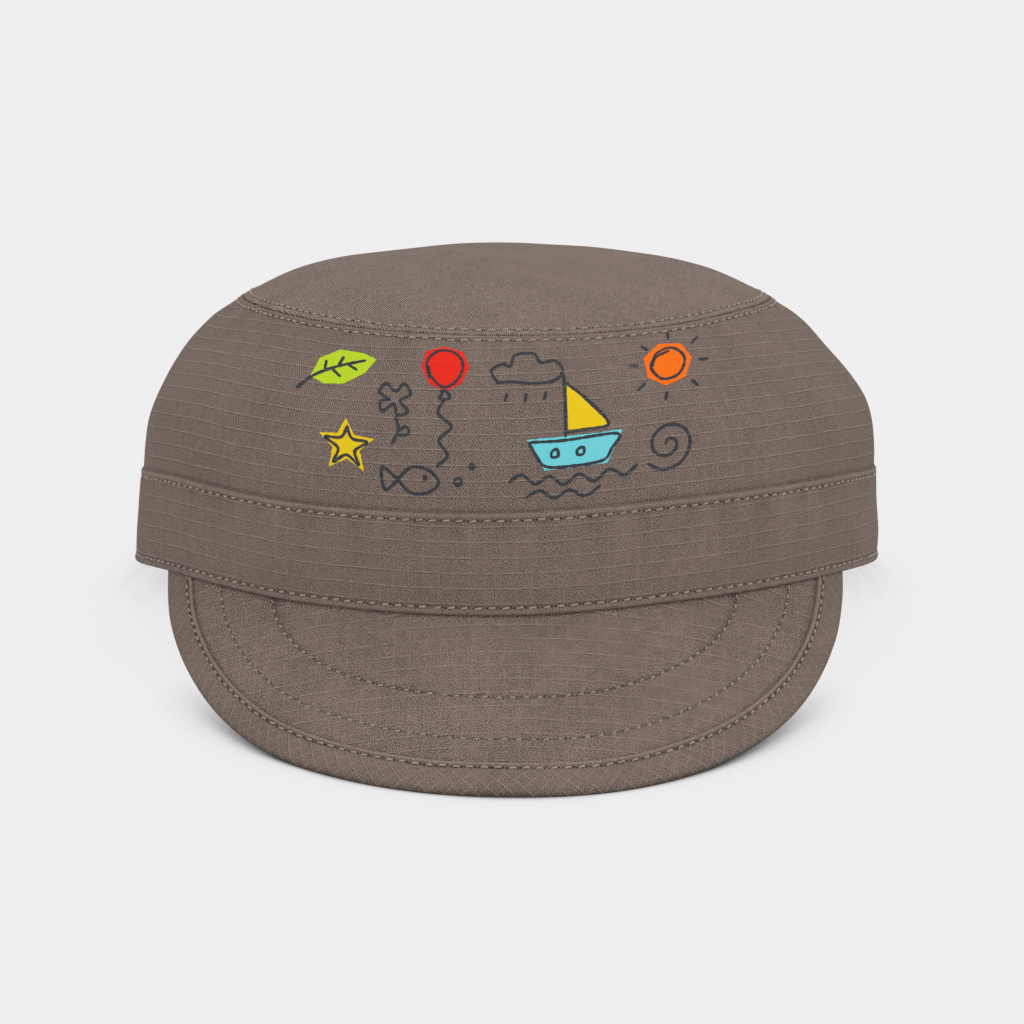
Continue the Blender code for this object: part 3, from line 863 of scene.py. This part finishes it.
# Pen lines of the print, each as a row of places that the pen passes
PEN_LINES = (
    # leaf: stalk and veins
    ((-44.6, 17.4), (-40.6, 13.6), (-35.6, 10.8), (-29.4, 8.6)),
    ((-38.4, 12.2), (-38.0, 9.6)),
    ((-35.4, 10.7), (-34.2, 8.2)),
    ((-36.8, 11.5), (-34.8, 13.2)),
    ((-33.4, 10.0), (-31.2, 11.2)),
    # balloon: two loose rings, a knot and its string
    ((-15.8, 11.8), (-16.4, 8.0), (-14.0, 5.0), (-10.6, 5.2), (-8.8, 8.2), (-10.0, 11.8),
     (-12.8, 13.6), (-15.4, 11.4), (-16.2, 8.8)),
    ((-13.6, 14.6), (-12.4, 14.4), (-11.6, 16.0), (-13.6, 16.2), (-12.9, 14.4)),
    ((-12.6, 16.2), (-14.0, 19.4), (-11.2, 22.2), (-13.8, 25.2), (-12.0, 28.4), (-14.4, 31.0)),
    # cloud
    ((-1.6, 12.2), (-2.8, 9.6), (-0.4, 8.0), (1.2, 8.6), (2.2, 5.8), (6.0, 5.4), (7.6, 7.8),
     (10.6, 7.4), (12.2, 9.8), (10.6, 12.0), (5.8, 12.6), (1.6, 12.2), (-1.8, 12.4)),
    ((0.6, 14.6), (0.0, 16.6)),
    ((4.6, 14.8), (4.2, 17.0)),
    ((8.8, 14.4), (8.2, 16.4)),
    # boat: mast, sail, hull and the water below
    ((12.4, 10.6), (12.7, 17.0), (12.8, 24.6)),
    ((12.8, 12.6), (18.4, 17.6), (21.8, 22.2), (17.0, 23.0), (12.9, 23.4)),
    ((5.2, 25.4), (12.0, 25.2), (23.6, 24.4), (22.4, 27.6), (20.6, 29.8), (14.4, 30.6),
     (8.8, 30.6), (6.6, 28.2), (5.0, 25.2)),
    ((9.8, 27.4), (11.0, 27.0), (11.2, 28.4), (9.9, 28.6), (9.8, 27.3)),
    ((15.2, 27.1), (16.5, 26.8), (16.6, 28.1), (15.3, 28.3), (15.2, 27.0)),
    ((0.8, 33.8), (3.6, 32.2), (6.4, 34.2), (9.4, 32.6), (12.4, 34.4), (15.6, 32.4), (18.8, 34.0),
     (22.0, 31.8), (25.2, 33.2), (28.0, 31.2)),
    ((4.4, 37.0), (7.4, 35.6), (10.4, 37.2), (13.6, 35.6), (16.8, 37.0), (20.2, 35.0)),
    # sun: loose rings and rays
    ((31.2, 10.6), (32.2, 7.4), (35.6, 6.4), (38.2, 9.2), (37.0, 12.8), (33.4, 13.6), (31.0, 10.8),
     (32.0, 8.4), (35.0, 7.0)),
    ((28.8, 5.0), (30.4, 6.4)),
    ((34.6, 1.9), (34.8, 4.0)),
    ((41.4, 4.2), (39.6, 6.0)),
    ((43.4, 10.4), (41.2, 10.2)),
    ((41.2, 16.4), (39.6, 14.6)),
    ((34.0, 18.4), (34.4, 16.4)),
    ((28.0, 15.6), (29.8, 14.0)),
    ((26.2, 9.6), (28.4, 9.8)),
    # star
    ((-33.4, 23.6), (-32.2, 26.4), (-29.0, 26.8), (-31.6, 29.0), (-30.8, 31.8), (-33.4, 30.0),
     (-36.2, 31.8), (-35.2, 28.8), (-38.0, 26.8), (-34.6, 26.4), (-33.2, 23.8)),
    # fish with its bubbles
    ((-22.6, 34.0), (-19.4, 31.2), (-15.8, 31.8), (-13.8, 34.2), (-16.2, 36.4), (-19.8, 36.6),
     (-22.8, 33.8), (-25.8, 31.8), (-25.2, 36.4), (-22.4, 34.2)),
    ((-17.2, 33.2), (-16.5, 33.0), (-16.6, 33.8), (-17.2, 33.4)),
    ((-10.6, 33.6), (-9.6, 33.0), (-9.0, 34.0), (-10.0, 34.6), (-10.7, 33.6)),
    ((-7.4, 30.4), (-6.8, 30.0), (-6.4, 30.6), (-7.0, 31.0), (-7.5, 30.4)),
    # flower on a stem
    ((-24.2, 17.2), (-26.4, 15.6), (-25.0, 13.6), (-23.0, 15.2), (-21.2, 13.4), (-19.8, 15.6),
     (-22.0, 17.2), (-20.4, 19.4), (-22.6, 20.4), (-23.4, 18.0), (-25.8, 19.8), (-26.2, 17.8),
     (-24.0, 17.0)),
    ((-23.0, 20.6), (-22.4, 23.6), (-23.8, 26.8)),
    ((-22.8, 24.0), (-20.8, 22.8), (-20.2, 24.2), (-22.4, 24.8)),
    # shell
    ((33.8, 27.8), (34.8, 26.6), (36.2, 27.4), (36.0, 29.2), (33.8, 30.2), (31.4, 28.8),
     (31.4, 25.8), (34.2, 23.8), (37.8, 24.8), (39.2, 28.2), (37.4, 31.8), (33.4, 33.0),
     (30.0, 31.4)),
)
PEN_INK = (57, 60, 65)
PEN_WIDTH = 0.64

# How high the paper shapes and the pen's lines lie on the wall, each line by a step of its own
PAPER_LIFT = 0.05
PEN_LIFT = 0.085
PEN_LIFT_STEP = 0.002


class Wire:
    """An output of a material's nodes. Arithmetic with it adds the maths nodes."""

    def __init__(self, nodes, socket):
        self.nodes = nodes
        self.socket = socket

    def __add__(self, other):
        return self.nodes.math("ADD", self, other)

    def __sub__(self, other):
        return self.nodes.math("SUBTRACT", self, other)

    def __rsub__(self, other):
        return self.nodes.math("SUBTRACT", other, self)

    def __mul__(self, other):
        return self.nodes.math("MULTIPLY", self, other)

    def __truediv__(self, other):
        return self.nodes.math("DIVIDE", self, other)

    def parts(self):
        """The x, y and z of a vector."""
        node = self.nodes.add("ShaderNodeSeparateXYZ", (self,))
        return [Wire(self.nodes, socket) for socket in node.outputs]

    def spread(self, low, high, out_low=0.0, out_high=1.0):
        """A soft step from out_low at low to out_high at high."""
        values = (self, low, high, out_low, out_high)
        return self.nodes.out("ShaderNodeMapRange", values, interpolation_type="SMOOTHSTEP")


class Nodes:
    """A new material and a short way to build its nodes."""

    def __init__(self, name):
        self.material = bpy.data.materials.new(name)
        self.material.use_nodes = True
        self.tree = self.material.node_tree
        self.shader = self.tree.nodes["Principled BSDF"]

    def feed(self, socket, value):
        if isinstance(value, Wire):
            self.tree.links.new(value.socket, socket)
        else:
            socket.default_value = value

    def add(self, kind, inputs=(), **settings):
        """A node with its first inputs fed, or those of a dictionary by their names."""
        node = self.tree.nodes.new(kind)
        for name, value in settings.items():
            setattr(node, name, value)
        places = inputs if isinstance(inputs, dict) else range(len(inputs))
        for place in places:
            self.feed(node.inputs[place], inputs[place])
        return node

    def out(self, kind, inputs=(), output=0, **settings):
        return Wire(self, self.add(kind, inputs, **settings).outputs[output])

    def math(self, operation, *values):
        return self.out("ShaderNodeMath", values, operation=operation)

    def noise(self, place, scale, detail=2.0, rough=0.5):
        inputs = {"Vector": place, "Scale": scale, "Detail": detail, "Roughness": rough}
        return self.out("ShaderNodeTexNoise", inputs, noise_dimensions="3D")

    def vector(self, x, y):
        return self.out("ShaderNodeCombineXYZ", (x, y))

    def mix(self, share, first, second):
        inputs = {0: share, 6: first, 7: second}
        return self.out("ShaderNodeMix", inputs, 2, data_type="RGBA", blend_type="MIX")

    def scaled(self, vector, gain):
        return self.out("ShaderNodeVectorMath", {0: vector, "Scale": gain}, operation="SCALE")

    def bump(self, height, strength, distance):
        inputs = {"Strength": strength, "Distance": distance * MM, "Height": height}
        self.feed(self.shader.inputs["Normal"], self.out("ShaderNodeBump", inputs))

    def finish(self, base, rough, specular=0.0, sheen=0.0):
        """The surface's colour, and its even finish, which is set on the shader itself."""
        self.feed(self.shader.inputs["Base Color"], base)
        self.shader.inputs["Roughness"].default_value = rough
        self.shader.inputs["Specular IOR Level"].default_value = specular
        self.shader.inputs["Sheen Weight"].default_value = sheen
        self.shader.inputs["Sheen Roughness"].default_value = 0.5
        return self.material


def colour(red, green, blue):
    """A colour given as on a screen, 0 to 255, in the linear values that Blender works in."""
    values = []
    for part in (red, green, blue):
        share = part / 255.0
        values.append(share / 12.92 if share <= 0.04045 else ((share + 0.055) / 1.055) ** 2.4)
    return (values[0], values[1], values[2], 1.0)


def cloth_material(name, base, grid_turn=0.0, lines=1.0, twill=1.0, steep=(0.82, 0.57), depth=1.0,
                   crossed=0.35, pitch=RIPSTOP_PITCH, rib_pitch=0.50):
    """Washed ripstop cotton: thicker grid threads, a fine diagonal weave, heather, wear, painted
    light and shade.

    It is laid out by the cloth_mm UVs, which are in millimetres on the cloth.
    """
    nodes = Nodes(name)
    place = nodes.out("ShaderNodeUVMap", uv_map="cloth_mm")
    turn = {"Vector": place, "Angle": np.radians(grid_turn)}
    place = nodes.out("ShaderNodeVectorRotate", turn, rotation_type="Z_AXIS")
    u, v, _ = place.parts()

    def stretched(across, up, detail):
        return nodes.noise(nodes.vector(u * across, v * up), 1.0, detail)

    # Ripstop threads, which wander a little and show only in places, and the shade under them
    jiggle = stretched(0.9, 2.0, 2.0)
    wander = (nodes.noise(place, 0.11, 2.0) - 0.5) * 0.6 + (jiggle - 0.5) * 0.14
    along = stretched(0.45, 1.1, 3.0).spread(0.36, 0.60, 0.35, 1.0)
    upward = stretched(1.1, 0.45, 3.0).spread(0.40, 0.64, 0.2 * crossed, crossed)
    thread_v = grid_line(v + wander, pitch) * along
    thread_u = grid_line(u + wander, pitch) * upward
    thread = nodes.math("MAXIMUM", thread_v, thread_u) * lines
    below = grid_line(v + wander + 0.24, pitch) * along * lines

    # The diagonal weave, flatter where a seam is pressed, and the heathered yarns
    slant = u * steep[0] + v * steep[1] + jiggle * 0.30
    weave = nodes.math("SINE", slant * (2.0 * np.pi / rib_pitch))
    weave = nodes.math("MULTIPLY_ADD", weave, 0.5, 0.5)
    heather = (stretched(5.2, 2.6, 2.0) + stretched(2.4, 5.4, 2.0)) * 0.5
    grain = nodes.noise(place, 4.6, 1.0, 0.6)
    mottled = nodes.noise(place, 0.45, 3.0, 0.6)
    broad = nodes.noise(place, 0.06, 3.0, 0.55)
    patchy = nodes.noise(place, 0.9, 2.0).spread(0.35, 0.65, 0.45, 1.0)
    wear_and_shade = nodes.out("ShaderNodeAttribute", output="Fac", attribute_name="wear_and_shade")
    pressed = wear_and_shade.spread(0.03, 0.14, 1.0, 0.30)

    # How much lighter or darker than the base it all makes the cloth
    light = heather.spread(0.38, 0.62, -0.20, 0.20) + grain.spread(0.34, 0.66, -0.36, 0.36)
    light = light + (weave - 0.5) * (patchy * pressed) * (0.62 * twill)
    light = light + mottled.spread(0.3, 0.7, -0.05, 0.05)
    light = light + broad.spread(0.3, 0.7, -0.04, 0.04)
    light = light * depth + thread * 0.34 - below * 0.34
    # Wear and painted light and shade from each point's value: paler above zero, darker below
    wear_and_shade_tone = nodes.math("MAXIMUM", wear_and_shade * 0.5, -0.62)
    light = light + nodes.math("MINIMUM", wear_and_shade_tone, 0.40)
    light = nodes.math("MAXIMUM", light, -0.85)
    tinted = nodes.scaled(base[:3], light + 1.0)
    faded = nodes.mix(thread * 0.42, tinted, colour(*RUBBED_THREAD))
    height = thread * 0.10 + (weave * pressed) * (0.05 * twill) + heather * 0.16 + grain * 0.05
    nodes.bump(height, 0.8, 1.0)
    return nodes.finish(faded, 0.92, 0.08, 0.01)


def grid_line(place, pitch):
    """1 on evenly spaced lines, falling to 0 beside them."""
    nodes = place.nodes
    share = nodes.math("FRACT", place / pitch) - 0.5
    away = (0.5 - nodes.math("ABSOLUTE", share)) * pitch
    return away.spread(0.05, 0.20, 1.0, 0.0)


def thread_material(name, base):
    """Spun sewing thread, a little lighter than the cloth, with fine diagonal plies."""
    nodes = Nodes(name)
    u, v, _ = nodes.out("ShaderNodeUVMap", uv_map="cloth_mm").parts()
    ply = nodes.math("SINE", (u * 2.2 + v) * (2.0 * np.pi))
    fuzz = nodes.noise(nodes.out("ShaderNodeNewGeometry"), 2600.0, 2.0)
    gain = ply * 0.10 + fuzz.spread(0.3, 0.7, 0.84, 1.14)
    nodes.bump(ply, 0.5, 0.05)
    return nodes.finish(nodes.scaled(base[:3], gain), 0.75, 0.3, 0.1)


def hole_material(name, base):
    """The shade inside a needle hole."""
    nodes = Nodes(name)
    fuzz = nodes.noise(nodes.out("ShaderNodeNewGeometry"), 1800.0, 2.0)
    shade = nodes.mix(fuzz.spread(0.35, 0.65), base, colour(72, 62, 56))
    return nodes.finish(shade, 1.0)


def along_line(line, closed):
    """The line, closed if asked, the distances of its points and those of whole stitches."""
    if closed:
        line = np.concatenate([line, line[:1]])
    travelled = run_along(line)
    count = int(round(travelled[-1] / STITCH_PITCH))
    return line, travelled, np.arange(count) * travelled[-1] / count


def at_distance(line, travelled, distance):
    return np.stack([np.interp(distance, travelled, line[:, k]) for k in range(3)], -1)


def stitch_row(name, line, normals, material, hole, seed, closed=True, lift=0.0, fine=1.0,
               slant=0.10, length=STITCH_LENGTH):
    """A row of topstitching as one mesh, and dark discs of painted shade for its needle holes as
    another.
    """
    rng = np.random.default_rng(seed)
    line, travelled, starts = along_line(line, closed)
    if closed:
        normals = np.concatenate([normals, normals[:1]])
    sides = 6
    share = np.linspace(-1.0, 1.0, 9)
    turn = np.linspace(0.0, 2.0 * np.pi, sides, endpoint=False)
    about = np.tile(turn / (2.0 * np.pi), len(share))
    quads = grid_faces(len(share), sides, False, True)
    points = []
    faces = []
    uvs = []
    hole_points = []
    hole_faces = []
    for start in starts:
        middle = start + STITCH_PITCH * 0.5 + rng.normal(0.0, 0.10)
        half = length * 0.5 * rng.uniform(0.90, 1.08)
        if not closed and (middle - half < 0.4 or middle + half > travelled[-1] - 0.4):
            continue
        wheres = (middle + share * half) % travelled[-1] if closed else middle + share * half
        centre = at_distance(line, travelled, wheres)
        up = unit(at_distance(normals, travelled, wheres))
        ahead = unit(np.gradient(centre, axis=0))
        side = unit(np.cross(up, ahead))
        lean = slant * rng.uniform(0.3, 1.7)
        shift = rng.normal(0.0, 0.05)
        swell = np.sqrt(np.maximum(1.0 - share ** 4, 0.06))
        radius = THREAD_RADIUS * fine * swell * rng.uniform(0.88, 1.12) * (1.0 + 0.22 * share)
        dip = 0.14 - 0.42 * np.abs(share) ** 4
        core = centre + side * (lean * share + shift)[:, None] + up * (dip + lift)[:, None]
        ring = core[:, None, :] + radius[:, None, None] * (
            np.cos(turn)[None, :, None] * side[:, None, :] * 1.15
            + np.sin(turn)[None, :, None] * up[:, None, :]
        )
        faces.append(quads + len(points) * len(about))
        points.append(ring.reshape(-1, 3))
        along = np.repeat(wheres, sides)
        uvs.append(np.stack([along[quads], about[quads]], -1).reshape(-1, 2))
        for end in (0, -1):
            beyond = ahead[end] * (0.18 if end else -0.18)
            spot = centre[end] + side[end] * (lean * share[end] + shift) + beyond + up[end] * 0.09
            size = rng.uniform(0.19, 0.27) * (0.3 + 0.7 * fine)
            rim = [spot + ahead[end] * np.cos(a) * size * 0.9 + side[end] * np.sin(a) * size
                   for a in np.linspace(0.0, 2.0 * np.pi, 8, endpoint=False)]
            hole_faces.append(list(range(len(hole_points), len(hole_points) + 8)))
            hole_points.extend(rim)
    every = [np.concatenate(arrays) for arrays in (points, faces, uvs)]
    thread = cloth_object(name, *every, material)
    holes = cloth_object(name + "_hole_shades", np.array(hole_points), hole_faces, None, hole)
    return thread, holes


def grid_line_at(values, targets, grid):
    """The line across a grid of points where a value down each column has reached a target."""
    columns = grid.shape[1]
    out = np.empty((columns, 3))
    for column in range(columns):
        order = np.argsort(values[:, column])
        for axis in range(3):
            out[column, axis] = np.interp(targets, values[order, column], grid[order, column, axis])
    return out


# The chart of the wall's front: how far it reaches to each side and down, and its step
CHART_SIDE = 52.0
CHART_DEPTH = 44.0
CHART_STEP = 0.5


def wall_chart(grid, normals, down, around):
    """The crown wall's front by millimetres across and down: point, normal and cloth place."""
    middle = grid.shape[1] // 2
    front = np.arange(middle - 140, middle + 141)
    across = np.arange(-CHART_SIDE, CHART_SIDE + 0.01, CHART_STEP)
    depth = np.arange(0.0, CHART_DEPTH + 0.01, CHART_STEP)
    both = np.concatenate([grid, normals], -1)
    level = np.empty((len(depth), len(front), 8))
    for index, column in enumerate(front):
        for value in range(6):
            level[:, index, value] = np.interp(depth, down[:, column], both[:, column, value])
        level[:, index, 6] = around[column]
        level[:, index, 7] = down[-1, column] - depth
    chart = np.empty((len(depth), len(across), 8))
    for row in range(len(depth)):
        for value in range(8):
            chart[row, :, value] = np.interp(across, level[row, :, 0], level[row, :, value])
    return chart


def on_wall(chart, places, lift):
    """Points a little above the wall, and their cloth places, for places across and down."""
    column = np.clip((places[:, 0] + CHART_SIDE) / CHART_STEP, 0.0, chart.shape[1] - 1.001)
    row = np.clip(places[:, 1] / CHART_STEP, 0.0, chart.shape[0] - 1.001)
    left = column.astype(int)
    upper = row.astype(int)
    x = (column - left)[:, None]
    y = (row - upper)[:, None]
    near = chart[upper, left] * (1.0 - x) + chart[upper, left + 1] * x
    far = chart[upper + 1, left] * (1.0 - x) + chart[upper + 1, left + 1] * x
    values = near * (1.0 - y) + far * y
    return values[:, :3] + unit(values[:, 3:6]) * lift, values[:, 6:8]


def paper_shape(name, corners, chart, material, seed):
    """A printed shape with slightly uneven cut edges, lying close on the wall."""
    rng = np.random.default_rng(seed)
    outline = []
    for start, end in zip(corners, corners[1:] + corners[:1]):
        start = np.array(start)
        end = np.array(end)
        count = max(2, int(np.hypot(*(end - start)) / 0.45))
        for share in np.arange(count) / count:
            outline.append(start + (end - start) * share + rng.normal(0.0, 0.035, 2))
    outline = np.array(outline)
    low = outline.min(0)
    high = outline.max(0)
    inner = []
    for x in np.arange(low[0] + 0.3, high[0], 0.8):
        for y in np.arange(low[1] + 0.3, high[1], 0.8):
            if inside(outline, x, y):
                inner.append((x, y))
    every = [Vector(point) for point in outline.tolist() + inner]
    result = delaunay_2d_cdt(every, [], [list(range(len(outline)))], 1, 1e-6)
    places = np.array([tuple(point) for point in result[0]])
    faces = [tuple(face) for face in result[2]]
    points, flat = on_wall(chart, places, PAPER_LIFT)
    faces = facing_out(points, faces)
    return cloth_object("print_" + name, points, faces, flat[np.array(faces).ravel()], material)


def inside(outline, x, y):
    """Whether a place lies inside an outline, and not close to its edge."""
    if np.min(np.hypot(outline[:, 0] - x, outline[:, 1] - y)) < 0.35:
        return False
    start = outline
    end = np.roll(outline, -1, 0)
    crosses = (start[:, 1] > y) != (end[:, 1] > y)
    rise = np.where(end[:, 1] == start[:, 1], 1e-9, end[:, 1] - start[:, 1])
    meets = start[:, 0] + (y - start[:, 1]) / rise * (end[:, 0] - start[:, 0])
    return bool(np.count_nonzero(crosses & (x < meets)) % 2)


def facing_out(points, faces):
    """The faces of a print's shape, turned to face the front."""
    first = np.array(faces)[:, :3]
    corner, second, third = points[first].transpose(1, 0, 2)
    normal = np.cross(second - corner, third - corner)
    if normal[:, 1].sum() > 0.0:
        return [tuple(reversed(face)) for face in faces]
    return faces


def pen_curve(places):
    """A smooth line through the places that the pen passes, in short steps."""
    places = np.array(places, dtype=float)
    before = 2.0 * places[:1] - places[1:2]
    after = 2.0 * places[-1:] - places[-2:-1]
    ends = np.concatenate([before, places, after])
    line = []
    for k in range(1, len(ends) - 2):
        a, b, c, d = ends[k - 1:k + 3]
        count = max(3, int(np.hypot(*(c - b)) / 0.22))
        for t in np.arange(count) / count:
            line.append(0.5 * (
                2.0 * b + (c - a) * t
                + (2.0 * a - 5.0 * b + 4.0 * c - d) * t ** 2
                + (3.0 * b - 3.0 * c + d - a) * t ** 3
            ))
    line.append(places[-1])
    return np.array(line)


def pen_drawing(chart, material):
    """Every pen line of the print in one mesh of narrow ribbons that lie on the wall."""
    rng = np.random.default_rng(77)
    points = []
    faces = []
    flats = []
    first = 0
    for number, places in enumerate(PEN_LINES):
        line = pen_curve(places)
        ahead = unit(np.gradient(line, axis=0))
        side = np.stack([-ahead[:, 1], ahead[:, 0]], -1)
        run = run_along(line)
        wobble = sum(np.cos(run * rate + rng.uniform(0.0, 6.28)) for rate in (0.9, 2.3, 4.1)) / 3.0
        half = PEN_WIDTH * 0.5 * (1.0 + 0.22 * wobble)
        edge = np.minimum(run, run[-1] - run)
        half = half * np.sqrt(np.clip(edge / 0.35, 0.04, 1.0))
        grid = np.stack([line - side * half[:, None], line, line + side * half[:, None]])
        lift = PEN_LIFT + PEN_LIFT_STEP * (number % 6)
        placed, flat = on_wall(chart, grid.reshape(-1, 2), lift)
        quads = grid_faces(3, len(line), False, False)
        quads = np.array(facing_out(placed, [tuple(face) for face in quads]))
        points.append(placed)
        flats.append(flat[quads.ravel()])
        faces.append(quads + first)
        first += len(placed)
    every = [np.concatenate(arrays) for arrays in (points, faces, flats)]
    return cloth_object("print_pen_lines", *every, material)


def place_camera():
    """The photograph's camera: its fitted place, turned with the cap as it rests."""
    elevation = np.radians(CAMERA_ELEVATION)
    azimuth = np.radians(CAMERA_AZIMUTH)
    level = np.cos(elevation)
    back = np.array([np.sin(azimuth) * level, -np.cos(azimuth) * level, np.sin(elevation)])
    right = np.array([np.cos(azimuth), np.sin(azimuth), 0.0])
    up = np.cross(back, right)
    position = np.array(CAMERA_TARGET) + CAMERA_DISTANCE * back
    aside, below = PHOTO_SIZE / 2 - np.array(CAMERA_MIDDLE)
    aim = unit(-back * CAMERA_FOCAL + right * aside - up * below)
    ends = at_rest(np.stack([position, position + aim, position + right]))
    forward = unit(ends[1] - ends[0])
    across = unit(ends[2] - ends[0])
    across = unit(across - forward * np.dot(across, forward))
    lift = np.cross(across, forward)
    data = bpy.data.cameras.new("photo_camera")
    data.sensor_width = SENSOR_WIDTH
    data.lens = CAMERA_FOCAL * SENSOR_WIDTH / PHOTO_SIZE
    data.clip_start = 0.05
    data.clip_end = 20.0
    camera = bpy.data.objects.new("photo_camera", data)
    turn = [(across[k], lift[k], -forward[k], ends[0][k]) for k in range(3)]
    bpy.context.scene.collection.objects.link(camera)
    camera.matrix_world = Matrix(turn + [(0.0, 0.0, 0.0, 1.0)])
    bpy.context.scene.camera = camera


def soft_light(name, place, size, power):
    """A large soft light that faces the middle of the cap."""
    data = bpy.data.lights.new(name, "AREA")
    data.shape = "RECTANGLE"
    data.size, data.size_y = size
    data.energy = power
    item = bpy.data.objects.new(name, data)
    bpy.context.scene.collection.objects.link(item)
    item.location = place
    heading = Vector((0.0, 0.0, 0.03)) - Vector(place)
    item.rotation_euler = heading.to_track_quat("-Z", "Y").to_euler()


def studio():
    """A pale floor, a white surround and large soft lights from above and in front."""
    mesh = bpy.data.meshes.new("studio_floor")
    half = FLOOR_HALF
    corners = [(-half, -half, 0), (half, -half, 0), (half, half, 0), (-half, half, 0)]
    mesh.from_pydata(corners, [], [(0, 1, 2, 3)])
    floor = bpy.data.objects.new("studio_floor", mesh)
    bpy.context.scene.collection.objects.link(floor)
    nodes = Nodes("studio_paper")
    place = nodes.out("ShaderNodeNewGeometry")
    paper = nodes.mix(nodes.noise(place, 3.0, 2.0), colour(59, 59, 59), colour(61, 61, 61))

    # Painted shadow: the glow fades close to the cap, and more so behind its peak, under the band
    near = nodes.out("ShaderNodeAmbientOcclusion", {"Distance": SHADE_REACH}, "AO", samples=8)
    wide = nodes.out("ShaderNodeAmbientOcclusion", {"Distance": WIDE_SHADE_REACH}, "AO", samples=16)
    behind = place.parts()[1].spread(-0.035, 0.035)
    under_band = wide.spread(0.56, 0.88, 0.85, 0.0)
    glow = near.spread(0.0, 1.0) * (1.0 - under_band * behind) * FLOOR_GLOW
    nodes.shader.inputs["Emission Color"].default_value = (1.0, 0.998, 0.998, 1.0)
    nodes.feed(nodes.shader.inputs["Emission Strength"], glow)
    mesh.materials.append(nodes.finish(paper, 1.0))
    floor.location.z = -0.00005
    world = bpy.data.worlds.new("studio_white")
    world.use_nodes = True
    background = world.node_tree.nodes["Background"]
    background.inputs[0].default_value = (1.0, 1.0, 1.0, 1.0)
    background.inputs[1].default_value = SURROUND
    bpy.context.scene.world = world
    for light in LIGHTS:
        soft_light(*light)
    bpy.context.scene.view_settings.view_transform = "Standard"


def dress(item, node=None):
    """A piece that rides on the cap's body and may stand for a CAD node, which it hides."""
    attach(item, "root")
    if node:
        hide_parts(node)


def main():
    # One cloth, its base colour set a little apart for each piece to match the brightness that
    # piece shows as lit, so these small differences are partly painted light and shade
    wall_cloth = cloth_material("wall_ripstop", colour(114, 100, 92), 0.0, 1.0, 1.0, depth=1.35)
    top_cloth = cloth_material(
        "top_ripstop", colour(119, 105, 97), 0.0, 0.45, 2.6, (0.92, 0.38), 1.9, rib_pitch=0.40
    )
    band_cloth = cloth_material("band_ripstop", colour(113, 99, 91), 0.0, 0.9, 1.0, depth=1.45)
    peak_cloth = cloth_material(
        "peak_ripstop", colour(114, 100, 92), 0.0, 0.80, 0.66, depth=1.85, crossed=0.45,
        rib_pitch=0.42
    )
    border_cloth = cloth_material(
        "border_ripstop", colour(111, 97, 89), 45.0, 0.8, 0.7, depth=1.35, crossed=1.0, pitch=2.5
    )
    thread = thread_material("brown_thread", colour(153, 138, 128))
    pale_thread = thread_material("pale_thread", colour(155, 140, 130))
    hole = hole_material("needle_hole_shade", colour(50, 42, 37))

    wall, wall_grid, wall_normals, down = crown_wall(wall_cloth)
    dress(wall, "crown_wall")
    top, top_grid, top_normals, from_rim = crown_top(top_cloth)
    dress(top, "crown_top")
    band, band_grid, band_normals, height = head_band(band_cloth)
    dress(band, "head_band")
    dress(peak_panel(peak_cloth), "peak_panel")
    dress(peak_border(border_cloth), "peak_border")

    upper = BAND_HEIGHT - BAND_UPPER_ROW
    lower = BAND_LOWER_ROW
    rows = (
        # name, distances over the piece, distance of the row, points, normals, lift, slot
        ("wall_stitches", down, WALL_ROW, wall_grid, wall_normals, 0.04, "wall_cloth"),
        ("top_stitches", from_rim, TOP_ROW, top_grid, top_normals, 0.02, "top_cloth"),
        ("band_upper_stitches", height, upper, band_grid, band_normals, 0.04, "band_cloth"),
        ("band_lower_stitches", height, lower, band_grid, band_normals, 0.04, "band_cloth"),
    )
    for seed, (name, distances, place, points, normals, lift, slot) in enumerate(rows, 100):
        line = grid_line_at(distances, place, points)
        ups = grid_line_at(distances, place, normals)
        for item in stitch_row(name, line, ups, thread, hole, seed, True, lift):
            dress(item)
    angle = np.linspace(-np.pi / 2, np.pi / 2, 600)
    for seed, name, place in ((120, "peak_stitches_outer", 2.0), (121, "peak_stitches_inner", 3.0)):
        places = np.full_like(angle, place)
        x, y = peak_line(places, angle)
        normals = peak_normals(x, y)
        line = peak_surface(x, y) + normals * peak_puff(places, x, y)[:, None]
        row = stitch_row(name, line, normals, pale_thread, hole, seed, False, 0.02, 0.84, 0.12, 1.4)
        for item in row:
            dress(item)
    x, y = border_point(np.full_like(angle, BORDER_STITCHES), angle)
    normals = peak_normals(x, y)
    line = peak_surface(x, y) + normals * 0.24
    for item in stitch_row("border_stitches", line, normals, thread, hole, 130, False):
        dress(item)

    around = run_round(wall_grid[25])
    chart = wall_chart(wall_grid, wall_normals, down, around)
    inks = {}
    for name, values in INKS.items():
        inks[name] = cloth_material("ink_" + name, colour(*values), 0.0, 0.12, 0.25, depth=0.22)
    for seed, (name, ink, corners) in enumerate(PAPER_SHAPES, 60):
        dress(paper_shape(name, corners, chart, inks[ink], seed))
    pen = cloth_material("ink_pen", colour(*PEN_INK), 0.0, 0.5, 0.4, depth=0.9)
    dress(pen_drawing(chart, pen))

    studio()
    place_camera()


main()
